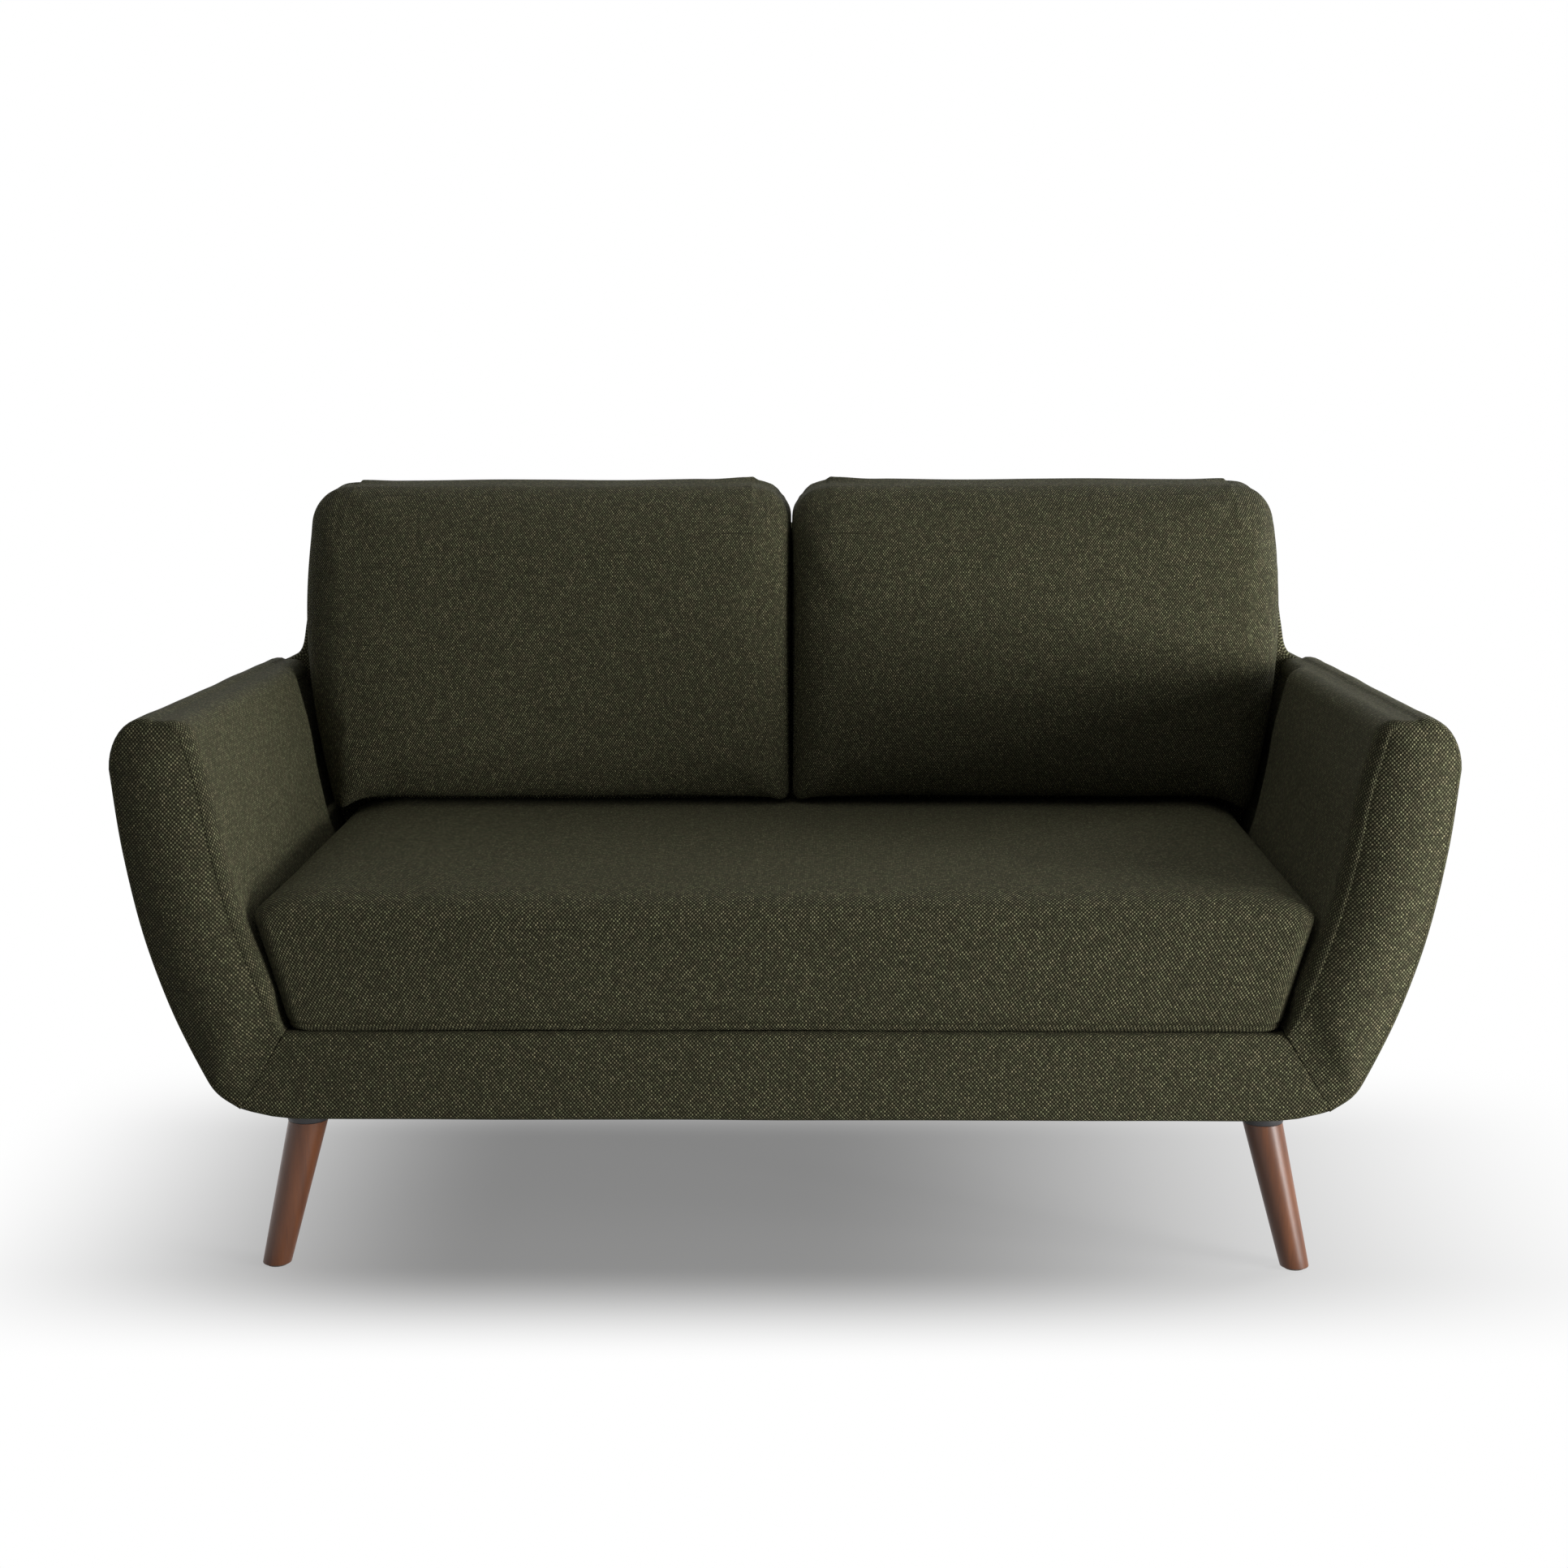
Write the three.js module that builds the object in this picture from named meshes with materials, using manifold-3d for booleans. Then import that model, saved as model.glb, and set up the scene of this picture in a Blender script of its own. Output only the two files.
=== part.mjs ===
// A two-seat settee: a timber seat frame on four turned legs, two flared arms and a reclined back
// under fabric covers, a bench seat cushion and two back cushions.
// Millimetres. X runs across the settee, Y from its front to its back, Z up from the floor.
import * as THREE from 'three';
import { mergeVertices } from 'three/addons/utils/BufferGeometryUtils.js';
import Module from 'manifold-3d';

const wasm = await Module();
wasm.setup();

// Clearances
const gap = 0.3; // between two pieces that touch
const overrun = 40; // how far a cutting shape runs past what it cuts
const bolt_clearance = 0.4; // round a bolt in its hole

// The whole settee
const settee_width = 1530;
const settee_depth = 820;
const base_height = 186; // underside of the seat frame
const frame_depth = 104; // underside to top of the front rail cover
const arm_height = 657; // top of an arm at its front
const arm_fall = 22; // how much lower the arm is where it meets the back
const back_height = 820;
const cover_thickness = 14; // fabric over foam and board

const half_width = settee_width / 2;
const front_y = -settee_depth / 2;
const rear_y = settee_depth / 2;
const frame_top = base_height + frame_depth;

// The mitre between an arm and the front rail cover
const mitre_top_width = 1158;
const mitre_bottom_width = 1268;
const mitre_rise = 12.7; // how far the underside curves up to the mitre
const underside_curve_width = 72;
const underside_stop_shares = [0, 0.25, 0.5, 0.75, 1];
const mitre_top_x = mitre_top_width / 2;
const mitre_bottom_x = mitre_bottom_width / 2;
const mitre_bottom_z = base_height + mitre_rise;

// Arm section: the outer side flares to its widest below a rounded top
const arm_top_width = 80;
const arm_outer_round_width = 43;
const arm_outer_round_height = 57;
const arm_inner_round_width = 18;
const arm_inner_round_height = 21;
const arm_foot_width = 34; // underside strip inboard of the mitre line
const arm_outer_shares = [[0, 0], [0.176, 0.048], [0.29, 0.108], [0.531, 0.29], [0.771, 0.529],
  [0.912, 0.763], [1, 1]];
const arm_inner_shares = [[1, 1], [0.84, 0.808], [0.745, 0.644], [0.571, 0.414], [0.335, 0.2],
  [0.165, 0.076], [0, 0]];
const side_steps = 12;
const round_steps = 4;
const kept_inset_share = 0.7; // nearest that an inset outline may come to its own outline

// Back section and outline
const seat_depth = 707; // front plane to the face of the back at seat height
const recline_start_height = 440;
const back_top_thickness = 46; // sets how far the face reclines
const rear_lean = 25; // the rear face leans back this much over its height
const back_top_rear_round = 20;
const back_top_front_round = 10;
const back_top_half_width = 600;
const shoulder_shares = [[1, 0], [0.98, 0.09], [0.88, 0.19], [0.72, 0.25], [0.59, 0.32],
  [0.545, 0.46], [0.485, 0.69], [0.36, 0.88], [0.18, 0.975], [0, 1]];
const shoulder_steps = 22;
const seat_back_y = front_y + seat_depth;
const recline_reach = rear_y - back_top_thickness - seat_back_y;
const recline = Math.atan(recline_reach / (back_height - recline_start_height));

// Front rail cover
const rail_cover_lap = 25; // how far its top runs back over the rail
const rail_cover_under_depth = 90; // how far its underside runs back

// Seat frame timber
const rail_thickness = 25;
const rail_lift = 2; // timber above the covers' underside walls
const rail_sink = 17; // timber below the top of the front rail cover
const side_clearance = 1; // timber inboard of the arm covers
const rear_rail_setback = 15; // rear rail behind the underside's rear edge
const leg_block_length = 80;
const leg_block_height = 49;
const stretcher_width = 40;
const stretcher_height = 39;

// Arm frame timber
const panel_thickness = 15;
const top_rail_width = 40;
const top_rail_thickness = 22;
const top_rail_drop = 57; // below the arm's top
const lower_rail_width = 40;
const lower_rail_thickness = 22;
const lower_rail_lift = 17; // above the seat frame's rails
const lower_rail_setout = 14; // outboard of the side rail

// Back frame timber and webbing
const post_thickness = 30;
const post_inset = 18; // end posts inboard of the seat frame's sides
const back_rail_height = 24;
const back_rail_half_length = 586;
const back_rail_drop = 22; // below the top of the back
const webbing_thickness = 2;
const webbing_width = 50;
const webbing_rows = 4;
const webbing_columns = 7;
const webbing_lift = 20; // above the seat deck
const webbing_half_span = 560;

// Seat suspension and covers
const spring_count = 7;
const spring_spacing = 150;
const spring_width = 62;
const spring_turns = 26;
const spring_wire = 4;
const spring_slant = 4.8; // half the wire's width across a slanting run
const clip_thickness = 6;
const clip_height = 11;
const clip_half_length = 485;
const dust_cover_thickness = 1.5;
const dust_cover_lift = 4.3; // above the underside of the seat frame
const dust_cover_margin = 1.2; // inboard of the arm covers' feet

// Legs
const leg_foot_radius = 17;
const leg_top_radius = 23.4;
const leg_foot_round = 1.5;
const leg_foot_x = 603;
const leg_top_x = 564;
const leg_top_setback = 52; // leg top behind the front plane
const leg_splay = 22; // foot forward of the leg top
const rear_leg_setback = 52; // rear leg top in front of the underside's rear edge
const collar_thickness = 13;
const collar_flare = 0.7;
const glide_radius = 12;
const glide_thickness = 2.2;
const bolt_radius = 4;
const bolt_in_leg = 32;
const bolt_in_block = 44;
const leg_sides = 20;
const bolt_sides = 10;

// Seat cushion
const seat_width = 1234;
const seat_bottom_width = 1156;
const seat_top_height = 452;
const seat_setback = 7; // behind the front plane
const seat_crown = 6;
const seat_side_round = { reach: 66, fall: 27 };
const seat_front_round = { reach: 48, fall: 36 };
const seat_rear_round = { reach: 30, fall: 20 };
const seat_corner_radius = 24;
const seat_under_round = 9;
const seat_draw_in = 4;

// Back cushions
const back_cushion_thickness = 110;
const back_cushion_height = 431;
const back_cushion_lift = 1; // above the seat cushion
const back_cushion_reach = 672; // outer edge from the middle, where it is widest
const back_cushion_parting = 2.5; // inner edge from the middle
const back_cushion_crown = 22;
const back_cushion_round = { reach: 42, fall: 38 };
const back_cushion_foot_round = { reach: 22, fall: 20 };
const back_cushion_corner_radius = 42;
const back_cushion_under_round = 8;
const back_cushion_draw_in = 3;
const outer_bow_share = 0.194; // how much the outer edge bows, of its reach
const outer_widest_share = 0.6; // how far up the outer edge is widest
const corner_droop = 20; // outer foot corner hangs over the seat cushion's rounded side
const corner_droop_width = 75;

// All cushions
const corner_steps = 4;
const long_side_steps = 14;
const short_side_steps = 7;
const smallest_corner_share = 1 / 3; // sharpest corner of the crown's outlines
const under_middle_share = 0.85; // innermost outline of the underside
const under_edge_share = 0.3; // cut across the lower edge
const edge_inset_shares = [0, 0.06, 0.22, 0.5, 1];
const crown_inset_shares = [0.25, 0.55, 0.85];

// Heights and places that follow from the sizes above
const rear_foot_y = rear_y - rear_lean;
const rear_rail_rear_y = rear_foot_y - rear_rail_setback;
const rear_rail_front_y = rear_rail_rear_y - rail_thickness;
const rail_bottom_z = base_height + cover_thickness + rail_lift;
const rail_top_z = frame_top - rail_sink;
const frame_half_width = mitre_top_x - side_clearance;
const front_rail_front_y = front_y + cover_thickness + gap;
const front_rail_rear_y = front_rail_front_y + rail_thickness;
const arm_foot_x = mitre_bottom_x - arm_foot_width;
const arm_inner_top_x = half_width - arm_top_width;
const rail_cover_rear_y = front_y + rail_cover_under_depth;
const deck_bottom_z = rail_top_z + gap;
const deck_top_z = frame_top - gap;
const leg_top_z = base_height - gap - collar_thickness - gap;

// Finishes
function finish(color, roughness, metalness = 0) {
  return new THREE.MeshStandardMaterial({ color, roughness, metalness });
}
const olive_fabric = finish(0x3d3e2c, 0.95);
const lining_fabric = finish(0x1d1d1c, 0.95);
const walnut_stain = finish(0x6a3a22, 0.4);
const black_plastic = finish(0x2b2b2d, 0.5);
const felt_grey = finish(0x55534f, 0.9);
const plain_timber = finish(0xc8a674, 0.7);
const plywood = finish(0xd2b487, 0.7);
const spring_steel = finish(0x8d9094, 0.35, 1);
const zinc_steel = finish(0xa9adb0, 0.4, 1);
const webbing_cloth = finish(0x2f2c28, 0.9);

// Mesh making
function signedVolume(positions, triangles) {
  const corners = [new THREE.Vector3(), new THREE.Vector3(), new THREE.Vector3()];
  let volume = 0;
  for (let i = 0; i < triangles.length; i += 3) {
    corners.forEach((corner, k) => corner.fromArray(positions, 3 * triangles[i + k]));
    volume += corners[0].dot(corners[1].cross(corners[2])) / 6;
  }
  return volume;
}

function closedBody(positions, triangles) {
  const outward = signedVolume(positions, triangles) > 0;
  const ordered = outward ? triangles : triangles.slice().reverse();
  const geometry = new THREE.BufferGeometry();
  geometry.setAttribute('position', new THREE.Float32BufferAttribute(positions, 3));
  geometry.setIndex(ordered);
  return geometry;
}

function bare(geometry) {
  const copy = geometry.clone();
  copy.deleteAttribute('normal');
  copy.deleteAttribute('uv');
  return mergeVertices(copy);
}

function mirrored(geometry) {
  const copy = bare(geometry).scale(-1, 1, 1);
  return closedBody(Array.from(copy.attributes.position.array), Array.from(copy.index.array));
}

function solid(geometry) {
  const copy = bare(geometry);
  return new wasm.Manifold(new wasm.Mesh({
    numProp: 3,
    vertProperties: new Float32Array(copy.attributes.position.array),
    triVerts: new Uint32Array(copy.index.array),
  }));
}

function surface(body) {
  const mesh = body.getMesh();
  return closedBody(Array.from(mesh.vertProperties), Array.from(mesh.triVerts));
}

function outlineShape(points) {
  return new THREE.Shape(points.map(([across, up]) => new THREE.Vector2(across, up)));
}

// A prism whose outline is given in X and Z
function prismAlongY(points, from, to) {
  const prism = new THREE.ExtrudeGeometry(outlineShape(points), { depth: to - from, bevelEnabled: false });
  return prism.rotateX(Math.PI / 2).translate(0, to, 0);
}

// A prism whose outline is given in Y and Z
function prismAlongX(points, from, to) {
  const prism = new THREE.ExtrudeGeometry(outlineShape(points), { depth: to - from, bevelEnabled: false });
  const turn = new THREE.Matrix4().makeBasis(
    new THREE.Vector3(0, 1, 0), new THREE.Vector3(0, 0, 1), new THREE.Vector3(1, 0, 0));
  return prism.applyMatrix4(turn).translate(from, 0, 0);
}

function block(x, y, z) {
  const box = new THREE.BoxGeometry(x[1] - x[0], y[1] - y[0], z[1] - z[0]);
  return box.translate((x[0] + x[1]) / 2, (y[0] + y[1]) / 2, (z[0] + z[1]) / 2);
}

// Rings of equally many points joined one after another and closed at both ends
function loft(rings, flatten) {
  const positions = rings.flat().flatMap((point) => [point.x, point.y, point.z]);
  const sides = rings[0].length;
  const triangles = [];
  for (let ring = 0; ring + 1 < rings.length; ring += 1) {
    for (let side = 0; side < sides; side += 1) {
      const next = (side + 1) % sides;
      const [a, b] = [ring * sides + side, ring * sides + next];
      const [c, d] = [a + sides, b + sides];
      triangles.push(a, b, d, a, d, c);
    }
  }
  const last = (rings.length - 1) * sides;
  const startCap = THREE.ShapeUtils.triangulateShape(rings[0].map(flatten), []);
  const endCap = THREE.ShapeUtils.triangulateShape(rings[rings.length - 1].map(flatten), []);
  const wallsWindWith = THREE.ShapeUtils.isClockWise(rings[0].map(flatten)) ? 1 : -1;
  startCap.forEach((cap) => triangles.push(...orient(cap, rings[0].map(flatten), wallsWindWith)));
  endCap.forEach((cap) => {
    const turned = orient(cap, rings[rings.length - 1].map(flatten), -wallsWindWith);
    triangles.push(...turned.map((index) => index + last));
  });
  return closedBody(positions, triangles);
}

// Orders a cap's triangle clockwise or anticlockwise in its flattened plane
function orient(cap, points, turn) {
  const [a, b, c] = cap.map((index) => points[index]);
  const area = (b.x - a.x) * (c.y - a.y) - (b.y - a.y) * (c.x - a.x);
  return area * turn > 0 ? cap : [cap[0], cap[2], cap[1]];
}

const group = new THREE.Group();

function place(name, geometry, material) {
  const mesh = new THREE.Mesh(bare(geometry), material);
  mesh.name = name;
  group.add(mesh);
}

// Places a piece made on the right side, and its mirror image on the left
function placePair(name, geometry, material) {
  place(`${name}_right`, geometry, material);
  place(`${name}_left`, mirrored(geometry), material);
}

// Lines and outlines
function distanceToLine([x, y], points, closed) {
  const runs = closed ? points.length : points.length - 1;
  const place = new THREE.Vector2(x, y);
  let nearest = Infinity;
  for (let i = 0; i < runs; i += 1) {
    const start = new THREE.Vector2(...points[i]);
    const run = new THREE.Vector2(...points[(i + 1) % points.length]).sub(start);
    const along = place.clone().sub(start).dot(run) / run.lengthSq();
    start.addScaledVector(run, Math.min(1, Math.max(0, along)));
    nearest = Math.min(nearest, place.distanceTo(start));
  }
  return nearest;
}

// Moves a line sideways, and drops the points that would cross over in its tight bends
function insetLine(points, inset, closed) {
  const moved = points.map((point, i) => {
    const before = points[i - 1] ?? (closed ? points[points.length - 1] : point);
    const after = points[i + 1] ?? (closed ? points[0] : point);
    const along = new THREE.Vector2(after[0] - before[0], after[1] - before[1]).normalize();
    return [point[0] - along.y * inset, point[1] + along.x * inset];
  });
  return moved.filter((point) => distanceToLine(point, points, closed) >= inset * kept_inset_share);
}

function splineLine(points, steps) {
  const curve = new THREE.SplineCurve(points.map(([x, z]) => new THREE.Vector2(x, z)));
  return curve.getPoints(steps).map((point) => [point.x, point.y]);
}

function undersideZ(x) {
  const along = Math.max(0, (x - mitre_bottom_x + underside_curve_width) / underside_curve_width);
  return base_height + mitre_rise * along * along;
}

function armTopZ(y) {
  return arm_height - arm_fall * (y - front_y) / seat_depth;
}

// Outer side of an arm or of the back, from the mitre's foot to the widest place
function outerSide(topZ) {
  const rise = topZ - arm_outer_round_height - mitre_bottom_z;
  const reach = half_width - mitre_bottom_x;
  const points = arm_outer_shares.map(
    ([out, up]) => [mitre_bottom_x + reach * out, mitre_bottom_z + rise * up]);
  return splineLine(points, side_steps);
}

function innerSide(topZ) {
  const rise = topZ - arm_inner_round_height - frame_top;
  const reach = arm_inner_top_x - mitre_top_x;
  const points = arm_inner_shares.map(([out, up]) => [mitre_top_x + reach * out, frame_top + rise * up]);
  return splineLine(points, side_steps);
}

// A quarter of an ellipse round a centre, from one angle to the next in right angles
function quarter(centre, width, height, fromQuarter) {
  const points = [];
  for (let step = 1; step < round_steps; step += 1) {
    const angle = (fromQuarter + step / round_steps) * Math.PI / 2;
    points.push([centre[0] + width * Math.cos(angle), centre[1] + height * Math.sin(angle)]);
  }
  return points;
}

// An arm's section from its foot, up the outer side, over the top and down the inner side
function armEdge(topZ, inset) {
  const outerCentre = [half_width - arm_outer_round_width, topZ - arm_outer_round_height];
  const innerCentre = [arm_inner_top_x + arm_inner_round_width, topZ - arm_inner_round_height];
  const underside = [arm_foot_x, (arm_foot_x + mitre_bottom_x) / 2].map((x) => [x, undersideZ(x)]);
  const line = [
    ...underside,
    ...outerSide(topZ),
    ...quarter(outerCentre, arm_outer_round_width, arm_outer_round_height, 0),
    [outerCentre[0], topZ],
    [innerCentre[0], topZ],
    ...quarter(innerCentre, arm_inner_round_width, arm_inner_round_height, 1),
    ...innerSide(topZ),
  ];
  return insetLine(line, inset, false);
}

// The same section drawn in, and opened inboard down to the foot
function armHollow(topZ, inset, openX, lipZ) {
  const edge = armEdge(topZ, inset);
  const end = edge[edge.length - 1];
  const lip = lipZ ?? end[1];
  return [[openX, edge[0][1]], ...edge, [end[0], lip - gap], [openX, lip - gap]];
}

function ringAtY(points, y) {
  return points.map(([x, z]) => new THREE.Vector3(x, y, z));
}

function armLoft(outlineAt, from, to) {
  const rings = [from, to].map((y) => ringAtY(outlineAt(armTopZ(y)), y));
  return loft(rings, (point) => new THREE.Vector2(point.x, point.z));
}

function backFrontY(z) {
  return seat_back_y + Math.max(0, z - recline_start_height) * Math.tan(recline);
}

function backRearY(z) {
  return rear_foot_y + rear_lean * (z - base_height) / (back_height - back_top_rear_round - base_height);
}

// The back's section: its face stands up to seat height and then reclines
function backSection(inset) {
  const top = back_height - inset;
  const rearRound = Math.max(back_top_rear_round - inset, 0);
  const frontRound = Math.max(back_top_front_round - inset, 0);
  const rearTopY = backRearY(top) - inset;
  const frontTopY = backFrontY(top) + inset;
  const foot = base_height - overrun;
  return [
    [seat_back_y + inset, foot],
    [backRearY(foot) - inset, foot],
    [backRearY(top - rearRound) - inset, top - rearRound],
    ...(rearRound ? quarter([rearTopY - rearRound, top - rearRound], rearRound, rearRound, 0) : []),
    [rearTopY - rearRound, top],
    [frontTopY + frontRound, top],
    ...(frontRound ? [[backFrontY(top - frontRound) + inset, top - frontRound]] : []),
    [seat_back_y + inset, recline_start_height],
  ];
}

// The back's outline seen from the front: the arms' outer sides, shoulders and a straight top
function backOutline(inset) {
  const sideTopZ = armTopZ(seat_back_y);
  const side = outerSide(sideTopZ);
  const widest = side[side.length - 1];
  const shoulder = shoulder_shares.map(([out, up]) => [
    back_top_half_width + (widest[0] - back_top_half_width) * out,
    widest[1] + (back_height - widest[1]) * up,
  ]);
  const half = [
    [mitre_bottom_x - underside_curve_width, base_height],
    [arm_foot_x, undersideZ(arm_foot_x)],
    ...side,
    ...splineLine(shoulder, shoulder_steps).slice(1),
  ];
  const otherHalf = half.map(([x, z]) => [-x, z]).reverse();
  return insetLine([...half, ...otherHalf], inset, true);
}

// Legs, their collars, glides and bolts
const leg_ends = [
  { name: 'front', topY: front_y + leg_top_setback, lean: -leg_splay },
  { name: 'rear', topY: rear_foot_y - rear_leg_setback, lean: leg_splay },
];

// Middle of the leg's axis at a height, for the right-hand legs
function legAxis(end, z) {
  const down = 1 - z / leg_top_z;
  return new THREE.Vector3(leg_top_x + (leg_foot_x - leg_top_x) * down, end.topY + end.lean * down, z);
}

function ringRound(centre, radius, sides) {
  return Array.from({ length: sides }, (_, i) => {
    const angle = 2 * Math.PI * i / sides;
    return new THREE.Vector3(
      centre.x + radius * Math.cos(angle), centre.y + radius * Math.sin(angle), centre.z);
  });
}

function flattenDown(point) {
  return new THREE.Vector2(point.x, point.y);
}

function boltBody(end, radius, from, to) {
  const rings = [from, to].map((z) => ringRound(legAxis(end, z), radius, bolt_sides));
  return loft(rings, flattenDown);
}

function boltHole(end) {
  return solid(boltBody(end, bolt_radius + bolt_clearance, leg_top_z - bolt_in_leg - gap,
    leg_top_z + bolt_in_block + collar_thickness + gap));
}

function legBody(end) {
  const foot = glide_thickness + gap;
  const levels = [
    [foot, leg_foot_radius - leg_foot_round],
    [foot + leg_foot_round / 3, leg_foot_radius - leg_foot_round / 3],
    [foot + leg_foot_round, leg_foot_radius],
    [leg_top_z, leg_top_radius],
  ];
  const rings = levels.map(([z, radius]) => ringRound(legAxis(end, z), radius, leg_sides));
  return surface(solid(loft(rings, flattenDown)).subtract(boltHole(end)));
}

function collarBody(end) {
  const profile = [
    [0, 0],
    [leg_top_radius, 0],
    [leg_top_radius + collar_flare, collar_thickness],
    [0, collar_thickness],
  ];
  const disc = new THREE.LatheGeometry(profile.map(([r, z]) => new THREE.Vector2(r, z)), leg_sides);
  const seat = legAxis(end, leg_top_z + gap);
  disc.rotateX(Math.PI / 2).translate(seat.x, seat.y, seat.z);
  return surface(solid(disc).subtract(boltHole(end)));
}

function legBlockY(end) {
  return end.name === 'front'
    ? [front_rail_rear_y + gap, front_rail_rear_y + gap + leg_block_length]
    : [rear_rail_front_y - gap - leg_block_length, rear_rail_front_y - gap];
}

for (const end of leg_ends) {
  const glide = new THREE.CylinderGeometry(glide_radius, glide_radius, glide_thickness, leg_sides);
  const foot = legAxis(end, glide_thickness / 2);
  const blockX = [frame_half_width - leg_block_length, frame_half_width];
  const blockZ = [rail_bottom_z, rail_bottom_z + leg_block_height];
  const legBlock = solid(block(blockX, legBlockY(end), blockZ)).subtract(boltHole(end));
  const boltTop = leg_top_z + collar_thickness + bolt_in_block;
  const bolt = boltBody(end, bolt_radius, leg_top_z - bolt_in_leg, boltTop);
  glide.rotateX(Math.PI / 2).translate(foot.x, foot.y, foot.z);
  placePair(`foot_glide_${end.name}`, glide, felt_grey);
  placePair(`leg_${end.name}`, legBody(end), walnut_stain);
  placePair(`leg_collar_${end.name}`, collarBody(end), black_plastic);
  placePair(`hanger_bolt_${end.name}`, bolt, zinc_steel);
  placePair(`leg_block_${end.name}`, surface(legBlock), plain_timber);
}

// Seat frame
const railZ = [rail_bottom_z, rail_top_z];
const railX = [-frame_half_width, frame_half_width];
const sideRailY = [legBlockY(leg_ends[0])[1] + gap, legBlockY(leg_ends[1])[0] - gap];
const betweenRailsY = [front_rail_rear_y + gap, rear_rail_front_y - gap];
const stretcherX = [-stretcher_width / 2, stretcher_width / 2];
const stretcherZ = [rail_bottom_z, rail_bottom_z + stretcher_height];
const sideRail = block([frame_half_width - rail_thickness, frame_half_width], sideRailY, railZ);
place('front_rail', block(railX, [front_rail_front_y, front_rail_rear_y], railZ), plain_timber);
place('rear_rail', block(railX, [rear_rail_front_y, rear_rail_rear_y], railZ), plain_timber);
place('centre_stretcher', block(stretcherX, betweenRailsY, stretcherZ), plain_timber);
placePair('side_rail', sideRail, plain_timber);

// Seat springs: zigzag wires between two clip strips
const clipX = [-clip_half_length, clip_half_length];
const clipZ = [rail_top_z - clip_height, rail_top_z];
const springY = [betweenRailsY[0] + clip_thickness + gap, betweenRailsY[1] - clip_thickness - gap];
place('spring_clip_strip_front', block(clipX, [betweenRailsY[0], springY[0] - gap], clipZ), zinc_steel);
place('spring_clip_strip_rear', block(clipX, [springY[1] + gap, betweenRailsY[1]], clipZ), zinc_steel);

function springBody(centreX) {
  const wave = Array.from({ length: spring_turns + 1 }, (_, i) => {
    const atEnd = i === 0 || i === spring_turns;
    const swing = atEnd ? 0 : (i % 2 ? 1 : -1) * spring_width / 2;
    return [centreX + swing, springY[0] + (springY[1] - springY[0]) * i / spring_turns];
  });
  const right = wave.map(([x, y]) => [x + spring_slant, y]);
  const left = wave.map(([x, y]) => [x - spring_slant, y]).reverse();
  const flat = new THREE.ExtrudeGeometry(outlineShape([...right, ...left]),
    { depth: spring_wire, bevelEnabled: false });
  return flat.translate(0, 0, rail_top_z - spring_wire);
}

for (let i = 0; i < spring_count; i += 1) {
  place(`seat_spring_${i + 1}`, springBody((i - (spring_count - 1) / 2) * spring_spacing), spring_steel);
}

// Seat deck pad and dust cover
const deckY = [front_y + rail_cover_lap + gap, seat_back_y - gap];
const dust_half_width = arm_foot_x - dust_cover_margin;
const dustX = [-dust_half_width, dust_half_width];
const dustY = [rail_cover_rear_y + gap, seat_back_y - gap];
const dustZ = [base_height + dust_cover_lift, base_height + dust_cover_lift + dust_cover_thickness];
place('seat_deck_pad', block(railX, deckY, [deck_bottom_z, deck_top_z]), lining_fabric);
place('dust_cover', block(dustX, dustY, dustZ), lining_fabric);

// Front rail cover: a shell with mitred ends, open at the back and at its rear top
function railUnderside(raised) {
  const stops = underside_stop_shares.map((share) => mitre_bottom_x - underside_curve_width * (1 - share));
  return stops.map((x) => [x, undersideZ(x) + raised]);
}

function bothSides(right) {
  return [...right, ...right.map(([x, z]) => [-x, z]).reverse()];
}

function railHollow() {
  const endX = mitre_bottom_x + overrun;
  const endZ = mitre_bottom_z + cover_thickness;
  const lid = frame_top - cover_thickness;
  return bothSides([...railUnderside(cover_thickness), [endX, endZ], [endX, lid]]);
}

function frontRailCover() {
  const wide = [-half_width, half_width];
  const outline = bothSides([...railUnderside(0), [mitre_top_x, frame_top]]);
  const outer = solid(prismAlongY(outline, front_y, rail_cover_rear_y));
  const hollow = solid(prismAlongY(railHollow(), front_y + cover_thickness, rail_cover_rear_y + overrun));
  const topOpening = solid(block(wide, [front_y + rail_cover_lap, rail_cover_rear_y + overrun],
    [frame_top - overrun, frame_top + overrun]));
  const hole = boltHole(leg_ends[0]);
  return surface(outer.subtract(hollow).subtract(topOpening).subtract(hole).subtract(hole.mirror([1, 0, 0])));
}
place('front_rail_cover', frontRailCover(), olive_fabric);

// Arm covers: shells cut along the mitre at the front and against the reclined back
function mitreCut() {
  const along = new THREE.Vector2(mitre_top_x - mitre_bottom_x, frame_top - mitre_bottom_z).normalize();
  const outward = new THREE.Vector2(along.y, -along.x);
  const foot = new THREE.Vector2(mitre_bottom_x, mitre_bottom_z)
    .addScaledVector(outward, gap).addScaledVector(along, -overrun);
  const head = new THREE.Vector2(mitre_top_x, frame_top)
    .addScaledVector(outward, gap).addScaledVector(along, overrun);
  const outline = [[foot.x, foot.y], [head.x, head.y], [0, head.y], [0, foot.y]];
  return solid(prismAlongY(outline, front_y - overrun, rail_cover_rear_y + gap));
}

// Everything behind a line that stands the stated distance in front of the back's face
function behindBack(clearance) {
  const top = arm_height + overrun;
  const foot = base_height - overrun;
  const outline = [
    [seat_back_y - clearance, foot],
    [rear_y + overrun, foot],
    [rear_y + overrun, top],
    [backFrontY(top) - clearance, top],
    [seat_back_y - clearance, recline_start_height],
  ];
  return solid(prismAlongX(outline, 0, half_width + overrun));
}

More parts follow.
